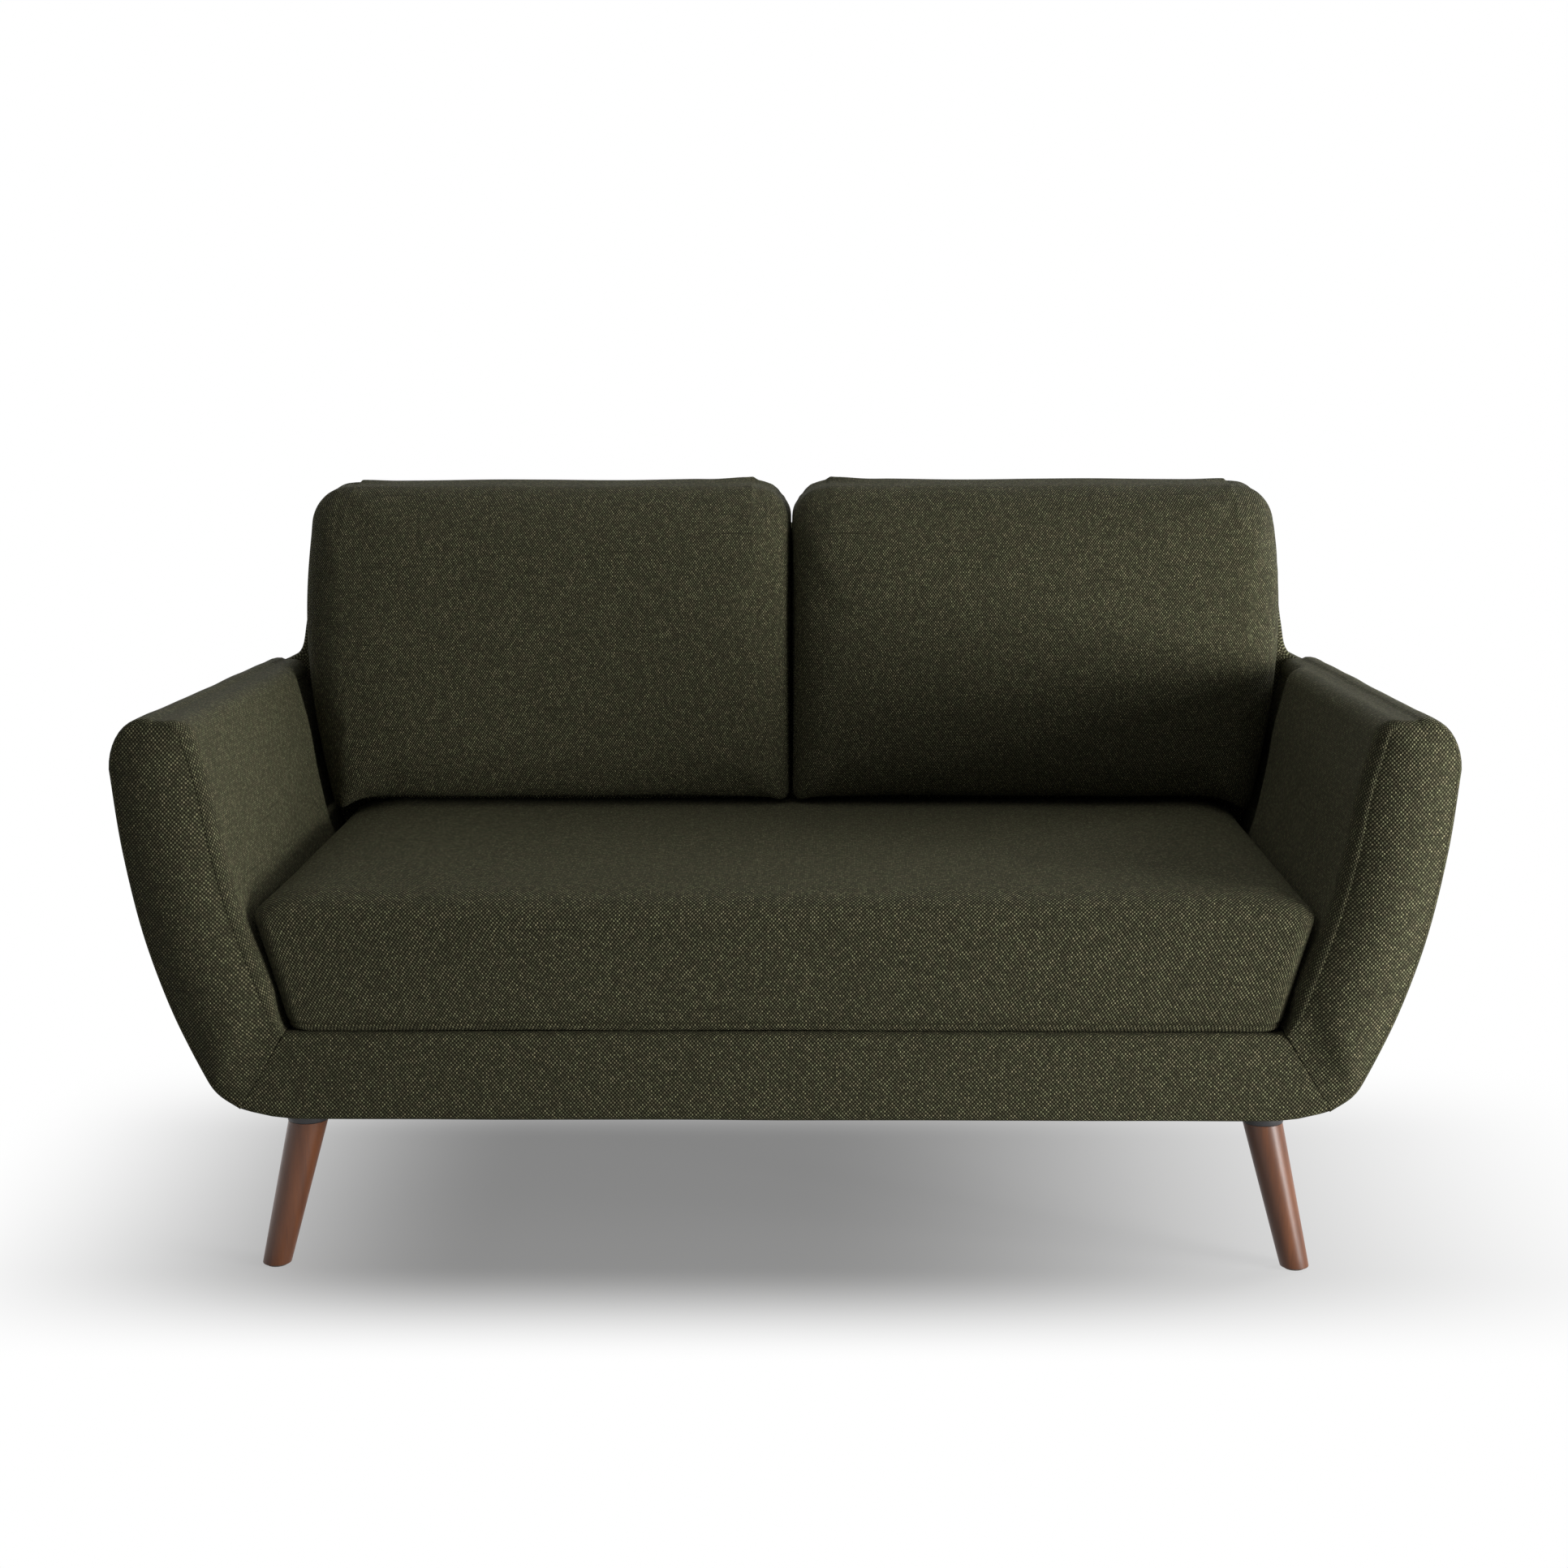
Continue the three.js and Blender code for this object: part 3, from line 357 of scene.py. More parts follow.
def fabric_material(cloth):
    """Basket-woven linen: staggered bright flecks over dark gaps, mottled green and brown. The gaps' dark colour is
    partly the weave's own darker ground and partly painted shade of the hollows between the yarns.
    """
    material, tree, shader = new_material("olive_weave")
    place = wire(tree, "TexCoord").outputs["Object"]
    uv = wire(tree, "UVMap", uv_map="weave").outputs["UV"]
    wander = cloth_noise(tree, place, cloth.wander_scale).outputs["Color"]
    centred = wire(tree, "VectorMath", {0: wander, 1: (0.5, 0.5, 0.5)}, operation="SUBTRACT")
    drift = wire(tree, "VectorMath", {0: centred.outputs[0], "Scale": cloth.wander}, operation="SCALE")
    woven = wire(tree, "VectorMath", {0: uv, 1: drift.outputs[0]}, operation="ADD").outputs[0]
    axes = wire(tree, "SeparateXYZ", {0: woven})
    across, along = axes.outputs[0], axes.outputs[1]
    half_pitch = cloth.fleck_pitch / 2
    wave_across = calc(tree, "COSINE", calc(tree, "MULTIPLY", across, math.pi / half_pitch))
    wave_along = calc(tree, "COSINE", calc(tree, "MULTIPLY", along, math.pi / cloth.row_pitch))
    height = calc(tree, "MULTIPLY", wave_across, wave_along)
    column = calc(tree, "ROUND", calc(tree, "DIVIDE", across, half_pitch))
    row = calc(tree, "ROUND", calc(tree, "DIVIDE", along, cloth.row_pitch))
    cell = wire(tree, "CombineXYZ", {0: column, 1: row}).outputs[0]
    chance = wire(tree, "TexWhiteNoise", {"Vector": cell}, noise_dimensions="2D").outputs["Value"]
    stretched = wire(tree, "VectorMath", {0: woven, 1: cloth.slub_stretch}, operation="MULTIPLY")
    slub = cloth_noise(tree, stretched.outputs[0], 1.0, detail=1.0).outputs["Fac"]
    patch = cloth_noise(tree, place, cloth.patch_scale, detail=3.0, roughness=0.6).outputs["Fac"]
    patch_share = ramp(tree, patch, 0.38, 0.64, 0.0, 1.0, smoothly=True)
    yarn = mix(tree, patch_share, (*cloth.green_yarn, 1), (*cloth.brown_yarn, 1))
    grain = cloth_noise(tree, place, cloth.grain_scale, detail=2.0, roughness=0.7).outputs["Fac"]
    strength = ramp(tree, calc(tree, "POWER", chance, 2.0), 0, 1, 0.58, 1.85)
    for share in (ramp(tree, slub, 0.26, 0.33, 0.4, 1.0, smoothly=True),
                  ramp(tree, grain, 0.3, 0.7, 0.55, 1.45)):
        strength = calc(tree, "MULTIPLY", strength, share)
    bright = mix(tree, 1.0, yarn, wire(tree, "CombineColor", {0: strength, 1: strength, 2: strength})
                 .outputs[0], blend="MULTIPLY")
    # cover is 1 on a fleck and 0 in the gap. The gap colour is partly the weave's darker ground and partly painted
    # shade of the hollows between the yarns.
    cover = ramp(tree, height, -0.12, 0.55, 0.0, 1.0, smoothly=True)
    colour = mix(tree, cover, (*cloth.gap, 1), bright)
    raised = calc(tree, "MULTIPLY", height, ramp(tree, chance, 0, 1, 0.75, 1.0))
    bump = wire(tree, "Bump", {"Height": raised, "Strength": 1.0, "Distance": cloth.yarn_relief})
    roughness = ramp(tree, cover, 0, 1, 0.95, cloth.yarn_roughness)
    shade(tree, shader,
          {"Base Color": colour, "Roughness": roughness, "Normal": bump.outputs[0]},
          {"Sheen Weight": 0.02, "Sheen Roughness": 0.4, "Sheen Tint": (0.8, 0.78, 0.6, 1),
           "Specular IOR Level": 0.1})
    return material


def wood_material(name, dark, light, roughness, coat, along=(70, 70, 3.5)):
    """Stained or bare wood with its grain along one axis."""
    material, tree, shader = new_material(name)
    place = wire(tree, "TexCoord").outputs["Object"]
    drawn = wire(tree, "VectorMath", {0: place, 1: along}, operation="MULTIPLY").outputs[0]
    grain = cloth_noise(tree, drawn, 1.0, detail=6.0, roughness=0.65).outputs["Fac"]
    fine = wire(tree, "VectorMath", {0: drawn, 1: (7, 7, 4)}, operation="MULTIPLY").outputs[0]
    pores = cloth_noise(tree, fine, 1.0, detail=2.0).outputs["Fac"]
    tone = ramp(tree, grain, 0.32, 0.68, 0.0, 1.0, smoothly=True)
    colour = mix(tree, tone, (*dark, 1), (*light, 1))
    pore_share = ramp(tree, pores, 0.28, 0.42, 0.25, 0.0, smoothly=True)
    colour = mix(tree, pore_share, colour, (*(channel * 0.35 for channel in dark), 1))
    bump = wire(tree, "Bump", {"Height": pores, "Strength": 0.25, "Distance": 0.1 * MM})
    rough = ramp(tree, grain, 0.3, 0.7, roughness + 0.08, roughness - 0.04)
    shade(tree, shader, {"Base Color": colour, "Roughness": rough, "Normal": bump.outputs[0]},
          {"Coat Weight": coat, "Coat Roughness": 0.25})
    return material


def plain_material(name, dark, light, scale, roughness, relief, metal=0.0, stretch=(1, 1, 1)):
    """Moulded, felted or metal finish with fine variation of colour, roughness and surface."""
    material, tree, shader = new_material(name)
    place = wire(tree, "TexCoord").outputs["Object"]
    drawn = wire(tree, "VectorMath", {0: place, 1: stretch}, operation="MULTIPLY").outputs[0]
    specks = cloth_noise(tree, drawn, scale, detail=4.0, roughness=0.6).outputs["Fac"]
    clouds = cloth_noise(tree, drawn, scale / 12, detail=2.0).outputs["Fac"]
    share = ramp(tree, calc(tree, "ADD", specks, clouds), 0.7, 1.3, 0.0, 1.0)
    colour = mix(tree, share, (*dark, 1), (*light, 1))
    bump = wire(tree, "Bump", {"Height": specks, "Strength": 0.5, "Distance": relief})
    rough = ramp(tree, clouds, 0.35, 0.65, roughness - 0.06, roughness + 0.06)
    shade(tree, shader, {"Base Color": colour, "Roughness": rough, "Normal": bump.outputs[0]},
          {"Metallic": metal})
    return material


# Cushions

def smooth_array(values):
    """Rises softly from 0 to 1 as each value does."""
    values = np.clip(values, 0, 1)
    return values * values * (3 - 2 * values)


def edge_distances(reach, cell, half):
    """Distances from an edge at which a cushion has lines of points: close at the edge, then even."""
    near = [share * share * reach for share in (0, 0.16, 0.32, 0.48, 0.64, 0.8, 1)]
    count = max(1, round((half - reach) / cell))
    return near + [reach + (half - reach) * step / count for step in range(1, count + 1)]


def lattice_line(low_reach, high_reach, cell, half):
    low = [distance - half for distance in edge_distances(low_reach, cell, half)]
    high = [half - distance for distance in edge_distances(high_reach, cell, half)]
    return np.array(low + high[-2::-1])


def round_corners(x, y, half_length, half_depth, corner):
    """Moves lattice points so that the rectangle's corners become round."""
    over_x = np.clip((np.abs(x) - half_length + corner) / corner, 0, 1)
    over_y = np.clip((np.abs(y) - half_depth + corner) / corner, 0, 1)
    in_corner = (over_x > 0) & (over_y > 0)
    round_x = half_length - corner + corner * over_x * np.sqrt(1 - over_y ** 2 / 2)
    round_y = half_depth - corner + corner * over_y * np.sqrt(1 - over_x ** 2 / 2)
    return np.where(in_corner, np.sign(x) * round_x, x), np.where(in_corner, np.sign(y) * round_y, y)


def inset_and_facing(x, y, half_length, half_depth, corner, growth=0.6):
    """How far inside a cushion's outline each point lies, and which way the outline faces there.
    The outline's corners grow rounder inwards, so the crown has no crease."""
    low = np.zeros_like(x)
    high = np.full_like(x, min(half_length, half_depth))
    for _ in range(28):
        middle = (low + high) / 2
        radius = np.minimum(corner + growth * middle, min(half_length, half_depth) - middle)
        over_x = np.abs(x) - (half_length - middle - radius)
        over_y = np.abs(y) - (half_depth - middle - radius)
        away = np.hypot(np.maximum(over_x, 0), np.maximum(over_y, 0))
        inside = away + np.minimum(np.maximum(over_x, over_y), 0) < radius
        low = np.where(inside, middle, low)
        high = np.where(inside, high, middle)
    over_x, over_y = np.maximum(over_x, 0), np.maximum(over_y, 0)
    length = np.maximum(np.hypot(over_x, over_y), 1e-9)
    return low, np.sign(x) * over_x / length, np.sign(y) * over_y / length


def extra_arc(distance, reach, fall):
    """How much longer the cloth over a rounded edge is than the flat distance that it covers."""
    steps = np.linspace(0, 1, 60)
    drop = fall * (1 - np.sqrt(1 - (1 - steps) ** 2))
    arc = np.concatenate([[0], np.cumsum(np.hypot(np.diff(steps) * reach, np.diff(drop)))])
    extra = (arc[-1] - arc) - (1 - steps) * reach
    return np.interp(np.clip(distance / reach, 0, 1), steps, extra)


class Cushion:
    """A box cushion that lies on its flat side, crowned on top, with rounded edges all round.
    Its corners' radii are those of the front corners, then the left rear and the right rear one."""

    def __init__(self, size, corner, under_round, side, front, rear, crown, draw_in, cell,
                 lines=()):
        self.length, self.depth, self.thickness = size
        self.half_length, self.half_depth = self.length / 2, self.depth / 2
        self.corners, self.under_round, self.cell = corner, under_round, cell
        self.side, self.front, self.rear = side, front, rear
        self.crown, self.draw_in, self.lines = crown, draw_in, lines

    def corner(self, x, y):
        """The corner radius that holds near each point."""
        front, left_rear, right_rear = self.corners
        rear_share = smooth_array(0.5 + 2 * y / self.half_depth)
        right_share = smooth_array(0.5 + 2 * x / self.half_length)
        rear = left_rear + (right_rear - left_rear) * right_share
        return front + (rear - front) * rear_share

    def top_height(self, x, y):
        inset, face_x, face_y = inset_and_facing(
            x, y, self.half_length, self.half_depth, self.corner(x, y))
        reach = np.full_like(x, self.side[0])
        fall = np.full_like(x, self.side[1])
        for end, facing in ((self.front, face_y < 0), (self.rear, face_y > 0)):
            weight = np.where(facing, face_y ** 2, 0)
            reach = reach + (end[0] - self.side[0]) * weight
            fall = fall + (end[1] - self.side[1]) * weight
        left = np.maximum(0, 1 - inset / reach)
        swell = (1 - (x / self.half_length) ** 4) * (1 - (y / self.half_depth) ** 4)
        return self.thickness - fall * (1 - np.sqrt(1 - left * left)) + self.crown * swell

    def drawn_in(self, x, y):
        """The sides pull in between their corners."""
        inset, face_x, face_y = inset_and_facing(
            x, y, self.half_length, self.half_depth, self.corner(x, y))
        pull = self.draw_in * np.maximum(0, 1 - inset / self.half_depth)
        along = 1 - np.minimum(1, (x / self.half_length) ** 2)
        across = 1 - np.minimum(1, (y / self.half_depth) ** 2)
        return x - face_x ** 3 * pull * across, y - face_y ** 3 * pull * along

    def panels(self, rows, cloth_start, closer=(1, 1)):
        """The top, the bottom and the four walls between them, with their places on the cloth.
        The weave can be closer than on the other pieces, across and along."""
        u_start, v_start = cloth_start
        line_x = lattice_line(self.side[0], self.side[0], self.cell, self.half_length)
        line_x = np.sort(np.concatenate([line_x, self.lines]))
        line_y = lattice_line(self.front[0], self.rear[0], self.cell, self.half_depth)
        flat_x, flat_y = np.meshgrid(line_x, line_y)
        corner = self.corner(flat_x, flat_y)
        x, y = round_corners(flat_x, flat_y, self.half_length, self.half_depth, corner)
        z = self.top_height(x, y)
        x, y = self.drawn_in(x, y)
        side_extra = extra_arc(self.half_length - np.abs(flat_x), *self.side)
        end_extra = np.where(flat_y < 0, extra_arc(self.half_depth - np.abs(flat_y), *self.front),
                             extra_arc(self.half_depth - np.abs(flat_y), *self.rear))
        u = flat_x + np.sign(flat_x) * side_extra + u_start
        v = flat_y + np.sign(flat_y) * end_extra + v_start
        panels = Panels()
        panels.grid(np.dstack([x, y, z]), np.dstack([u, v]) * closer)
        under_x = x * (1 - self.under_round / self.half_length)
        under_y = y * (1 - self.under_round / self.half_depth)
        panels.grid(np.dstack([under_x, under_y, 0 * z]), np.dstack([flat_x, flat_y]), flip=True)
        last_row, last_column = len(line_y) - 1, len(line_x) - 1
        sides = (
            ([(0, j) for j in range(last_column + 1)], (0, -1)),
            ([(i, last_column) for i in range(last_row + 1)], (1, 0)),
            ([(last_row, last_column - j) for j in range(last_column + 1)], (0, 1)),
            ([(last_row - i, 0) for i in range(last_row + 1)], (-1, 0)),
        )
        for places, away in sides:
            points, cloth, seams = [], [], []
            for share, seam_depth in rows:
                row_points, row_cloth = [], []
                for i, j in places:
                    point, depth = self.wall_point(x[i, j], y[i, j], z[i, j], share)
                    row_points.append(point)
                    row_cloth.append(((u[i, j] + away[0] * depth) * closer[0],
                                      (v[i, j] + away[1] * depth) * closer[1]))
                points.append(row_points)
                cloth.append(row_cloth)
                seams.append(seam_depth)
            panels.grid(points, cloth, flip=True, seam=lambda i, j, seams=seams: seams[i])
        return panels

    def wall_point(self, x, y, z, share):
        """A point down a wall: up to 1 down the wall, then up to 2 round the lower edge."""
        if share <= 1:
            height = z + (self.under_round - z) * share
            return (x, y, height), z - height
        angle = (share - 1) * math.pi / 2
        inward = self.under_round * (1 - math.cos(angle))
        height = self.under_round * (1 - math.sin(angle))
        point = (x * (1 - inward / self.half_length), y * (1 - inward / self.half_depth), height)
        return point, z - self.under_round + angle * self.under_round


def puff(piece, settings, held_below, cap):
    """Blows the cushion up as sewn cloth under pressure, and keeps each point near its start."""
    data = piece.data
    start = coordinates(data)
    free = start[:, 2] > held_below
    held = piece.vertex_groups.new(name="held")
    held.add([int(i) for i in np.flatnonzero(~free)], 1.0, "REPLACE")
    cloth = piece.modifiers.new("cloth", "CLOTH")
    cloth.settings.use_pressure = True
    cloth.settings.uniform_pressure_force = settings.pressure
    cloth.settings.vertex_group_mass = held.name
    cloth.settings.effector_weights.gravity = 0
    cloth.settings.tension_stiffness = 25
    cloth.settings.compression_stiffness = 25
    cloth.settings.bending_stiffness = 2
    cloth.collision_settings.use_collision = False
    for step in range(1, settings.frames + 1):
        bpy.context.scene.frame_set(step)
    blown = coordinates(piece.evaluated_get(bpy.context.evaluated_depsgraph_get()).data)
    bpy.context.scene.frame_set(1)
    piece.modifiers.remove(cloth)
    piece.vertex_groups.remove(held)
    moved = blown - start
    length = np.maximum(np.linalg.norm(moved, axis=1), 1e-9)
    limit = cap * np.tanh(length / cap)
    set_coordinates(data, start + moved * (limit / length)[:, None])


def refine(piece, groove):
    """Subdivides the cushion once and draws its seams in."""
    division = piece.modifiers.new("fine", "SUBSURF")
    division.levels = 1
    apply_modifiers(piece)
    data = piece.data
    depth = np.empty(len(data.vertices))
    data.attributes["seam"].data.foreach_get("value", depth)
    normals = np.empty(len(data.vertices) * 3)
    data.vertices.foreach_get("normal", normals)
    set_coordinates(data, coordinates(data) - normals.reshape(-1, 3) * (depth * groove)[:, None])


def warp(piece, move):
    """Moves each point of the piece by a function of its place."""
    places = coordinates(piece.data)
    set_coordinates(piece.data, np.array([move(*place) for place in places]))


# Settings that a user would change

class SetteeUpholstery(bpy.types.PropertyGroup):
    """Sizes of the fixed upholstery."""
    cloth_thickness: FloatProperty(
        name="Cloth thickness", description="Cloth with its backing", default=3 * MM, unit="LENGTH")
    seam_width: FloatProperty(
        name="Seam width", description="Width of a drawn-in seam", default=0.8 * MM, unit="LENGTH")
    seam_depth: FloatProperty(
        name="Seam depth", description="How far a seam is drawn in", default=0.35 * MM, unit="LENGTH")
    outer_band: FloatProperty(
        name="Outer band", description="Arm face seam inboard of the outer side",
        default=5.5 * MM, unit="LENGTH")
    outer_swell: FloatProperty(
        name="Outer swell", description="How far the padding swells past the frame's outline",
        default=4.5 * MM, unit="LENGTH")
    top_band: FloatProperty(
        name="Top band", description="Arm face seam below the top", default=5 * MM, unit="LENGTH")
    inner_band: FloatProperty(
        name="Inner band", description="How far the inner side swells past the face seam",
        default=15 * MM, unit="LENGTH")
    face_crown: FloatProperty(
        name="Face crown", description="Rise of an arm's face as a share of its width",
        default=0.12, subtype="FACTOR")
    rail_round: FloatProperty(
        name="Rail round", description="Rounding of the front rail's edges", default=8 * MM, unit="LENGTH")
    back_round: FloatProperty(
        name="Back round", description="Rounding of the back's front edge", default=10 * MM, unit="LENGTH")
    foam_unevenness: FloatProperty(
        name="Foam unevenness", description="Height of the foam's soft waves",
        default=1.2 * MM, unit="LENGTH")


class SetteeCushions(bpy.types.PropertyGroup):
    """Sizes and stuffing of the loose cushions."""
    cell: FloatProperty(
        name="Cell", description="Spacing of the cushions' points", default=13 * MM, unit="LENGTH")
    pressure: FloatProperty(name="Pressure", description="Pressure of the filling", default=4)
    cap: FloatProperty(
        name="Cap", description="Farthest that the cover may swell", default=6 * MM, unit="LENGTH")
    frames: IntProperty(name="Frames", description="Steps of the swelling", default=20)
    groove: FloatProperty(
        name="Groove", description="Depth of the cushions' seams", default=3 * MM, unit="LENGTH")
    side_fullness: FloatProperty(
        name="Side fullness", description="How far a back cushion stands past its solid at the side",
        default=10 * MM, unit="LENGTH")
    top_fullness: FloatProperty(
        name="Top fullness", description="How far a back cushion stands past its solid at the top",
        default=2 * MM, unit="LENGTH")
    ear_height: FloatProperty(
        name="Ear height", description="Rise of a back cushion's rear seam near its top corners",
        default=0.3 * MM, unit="LENGTH")


class SetteeCloth(bpy.types.PropertyGroup):
    """The woven cover's colours and weave."""
    fleck_pitch: FloatProperty(
        name="Fleck pitch", description="Spacing of flecks along a row", default=4.3 * MM, unit="LENGTH")
    row_pitch: FloatProperty(
        name="Row pitch", description="Spacing of the rows", default=2.4 * MM, unit="LENGTH")
    yarn_relief: FloatProperty(
        name="Yarn relief", description="Height of the yarn", default=0.7 * MM, unit="LENGTH")
    yarn_roughness: FloatProperty(
        name="Yarn roughness", description="Roughness of a fleck", default=0.55, subtype="FACTOR")
    wander: FloatProperty(
        name="Wander", description="How far the yarn strays", default=1.4 * MM, unit="LENGTH")
    wander_scale: FloatProperty(
        name="Wander scale", description="How tightly the yarn strays", default=45)
    patch_scale: FloatProperty(
        name="Patch scale", description="How small the colour patches are", default=85)
    grain_scale: FloatProperty(
        name="Grain scale", description="How small the lighter and darker spots are", default=210)
    slub_stretch: FloatVectorProperty(
        name="Slub stretch", description="Length and closeness of dark threads", default=(5, 420, 1))
    green_yarn: FloatVectorProperty(
        name="Green yarn", description="Colour of the greener yarn", subtype="COLOR",
        default=(0.158, 0.164, 0.089))
    brown_yarn: FloatVectorProperty(
        name="Brown yarn", description="Colour of the browner yarn", subtype="COLOR",
        default=(0.176, 0.161, 0.094))
    # Colour between the yarns: partly the weave's darker ground, partly painted shade of the hollows there
    gap: FloatVectorProperty(
        name="Gap", description="Colour between the yarns", subtype="COLOR",
        default=(0.036, 0.034, 0.019))


class SetteeStage(bpy.types.PropertyGroup):
    """Camera, lights and floor."""
    lens: FloatProperty(name="Lens", description="Focal length in millimetres", default=60)
    camera_place: FloatVectorProperty(
        name="Camera place", description="Where the camera stands", subtype="XYZ", unit="LENGTH",
        default=(0.058, -3.330, 1.104))
    yaw: FloatProperty(
        name="Yaw", description="Turn to the right", subtype="ANGLE", default=math.radians(-1.09))
    pitch: FloatProperty(
        name="Pitch", description="Tilt down", subtype="ANGLE", default=math.radians(10.08))
    roll: FloatProperty(
        name="Roll", description="Roll of the camera", subtype="ANGLE", default=math.radians(-0.18))
    key_place: FloatVectorProperty(
        name="Key place", description="Where the key light stands", subtype="XYZ", unit="LENGTH",
        default=(3.0, -2.2, 0.55))
    key_power: FloatProperty(
        name="Key power", description="Power of the key light", default=67, unit="POWER")
    side_place: FloatVectorProperty(
        name="Side place", description="Where the second light on the right stands", subtype="XYZ",
        unit="LENGTH", default=(2.6, -1.3, 0.75))
    side_power: FloatProperty(
        name="Side power", description="Power of the second light on the right", default=40,
        unit="POWER")
    rim_power: FloatProperty(
        name="Rim power", description="Power of the light behind the right arm", default=35,
        unit="POWER")
    top_power: FloatProperty(
        name="Top power", description="Power of the light overhead", default=6.5, unit="POWER")
    ambient: FloatProperty(name="Ambient", description="Light from all round", default=0.14)
    floor_colour: FloatVectorProperty(
        name="Floor colour", description="Colour of the floor", subtype="COLOR",
        default=(0.27, 0.268, 0.264))
    floor_lift: FloatProperty(
        name="Floor lift", description="White mixed into the floor that is seen", default=0.21,
        subtype="FACTOR")


# Fixed upholstery

ARM_STEPS = 58
ROUND_STEPS = 10
FACE_COLUMNS = 14
TURN_STEPS = 9
SIDE_ROWS = 54
# The slope at which the band round the face sets off, so that it carries the face's curve on
FACE_LEAN = math.radians(24)
# Near the back cushions the inner sides thin out, and leave a dark gap beside the cushions
GAP_START = 150 * MM
GAP_DEPTH = 45 * MM


def arm_section(top_z):
    """The arm's section from the mitre's foot, up the outer side, over the top and down inside."""
    outer_centre = Vector((HALF_WIDTH - OUTER_ROUND.x, top_z - OUTER_ROUND.y))
    inner_centre = Vector((ARM_INNER_X + INNER_ROUND.x, top_z - INNER_ROUND.y))
    side_steps = ARM_STEPS - ROUND_STEPS
    outer = outer_side(top_z, side_steps) + quarter(outer_centre, OUTER_ROUND, 0, ROUND_STEPS)
    inner = inner_side(top_z, side_steps)[::-1]
    inner = quarter(inner_centre, INNER_ROUND, 1, ROUND_STEPS) + inner
    start, end = Vector((outer_centre.x, top_z)), Vector((inner_centre.x, top_z))
    flat = [start.lerp(end, step / FACE_COLUMNS) for step in range(FACE_COLUMNS + 1)]
    return outer + flat + inner


def arm_widths(settings):
    """At each point of an arm's section: how far the outside and the inside swell, and the inset
    and the depth of the face's seam, which fades out along the top."""
    outside, inside, inset, depths = [], [], [], []
    count = 2 * ARM_STEPS + FACE_COLUMNS + 1
    for i in range(count):
        from_foot = smooth(i / 9)
        off_foot = smooth(i / 9)
        over_top = smooth((i - ARM_STEPS + ROUND_STEPS / 2) / ROUND_STEPS)
        on_inner = smooth((i - ARM_STEPS - FACE_COLUMNS) / ROUND_STEPS)
        on_outer = 1 - smooth((i - ARM_STEPS + ROUND_STEPS) / ROUND_STEPS)
        to_head = smooth((count - 1 - i) / 14)
        outside.append(settings.outer_swell * off_foot * (1 - over_top))
        inside.append(settings.inner_band * on_inner * to_head)
        band = settings.top_band + (settings.outer_band - settings.top_band) * on_outer
        band += (settings.inner_band - settings.top_band) * on_inner
        inset.append(2 * MM + (band - 2 * MM) * min(from_foot, to_head))
        from_top = max(ARM_STEPS - i, i - ARM_STEPS - FACE_COLUMNS) / ROUND_STEPS
        depths.append(settings.seam_depth * (0.6 + 0.4 * smooth(2 * from_top)))
    return outside, inside, inset, depths


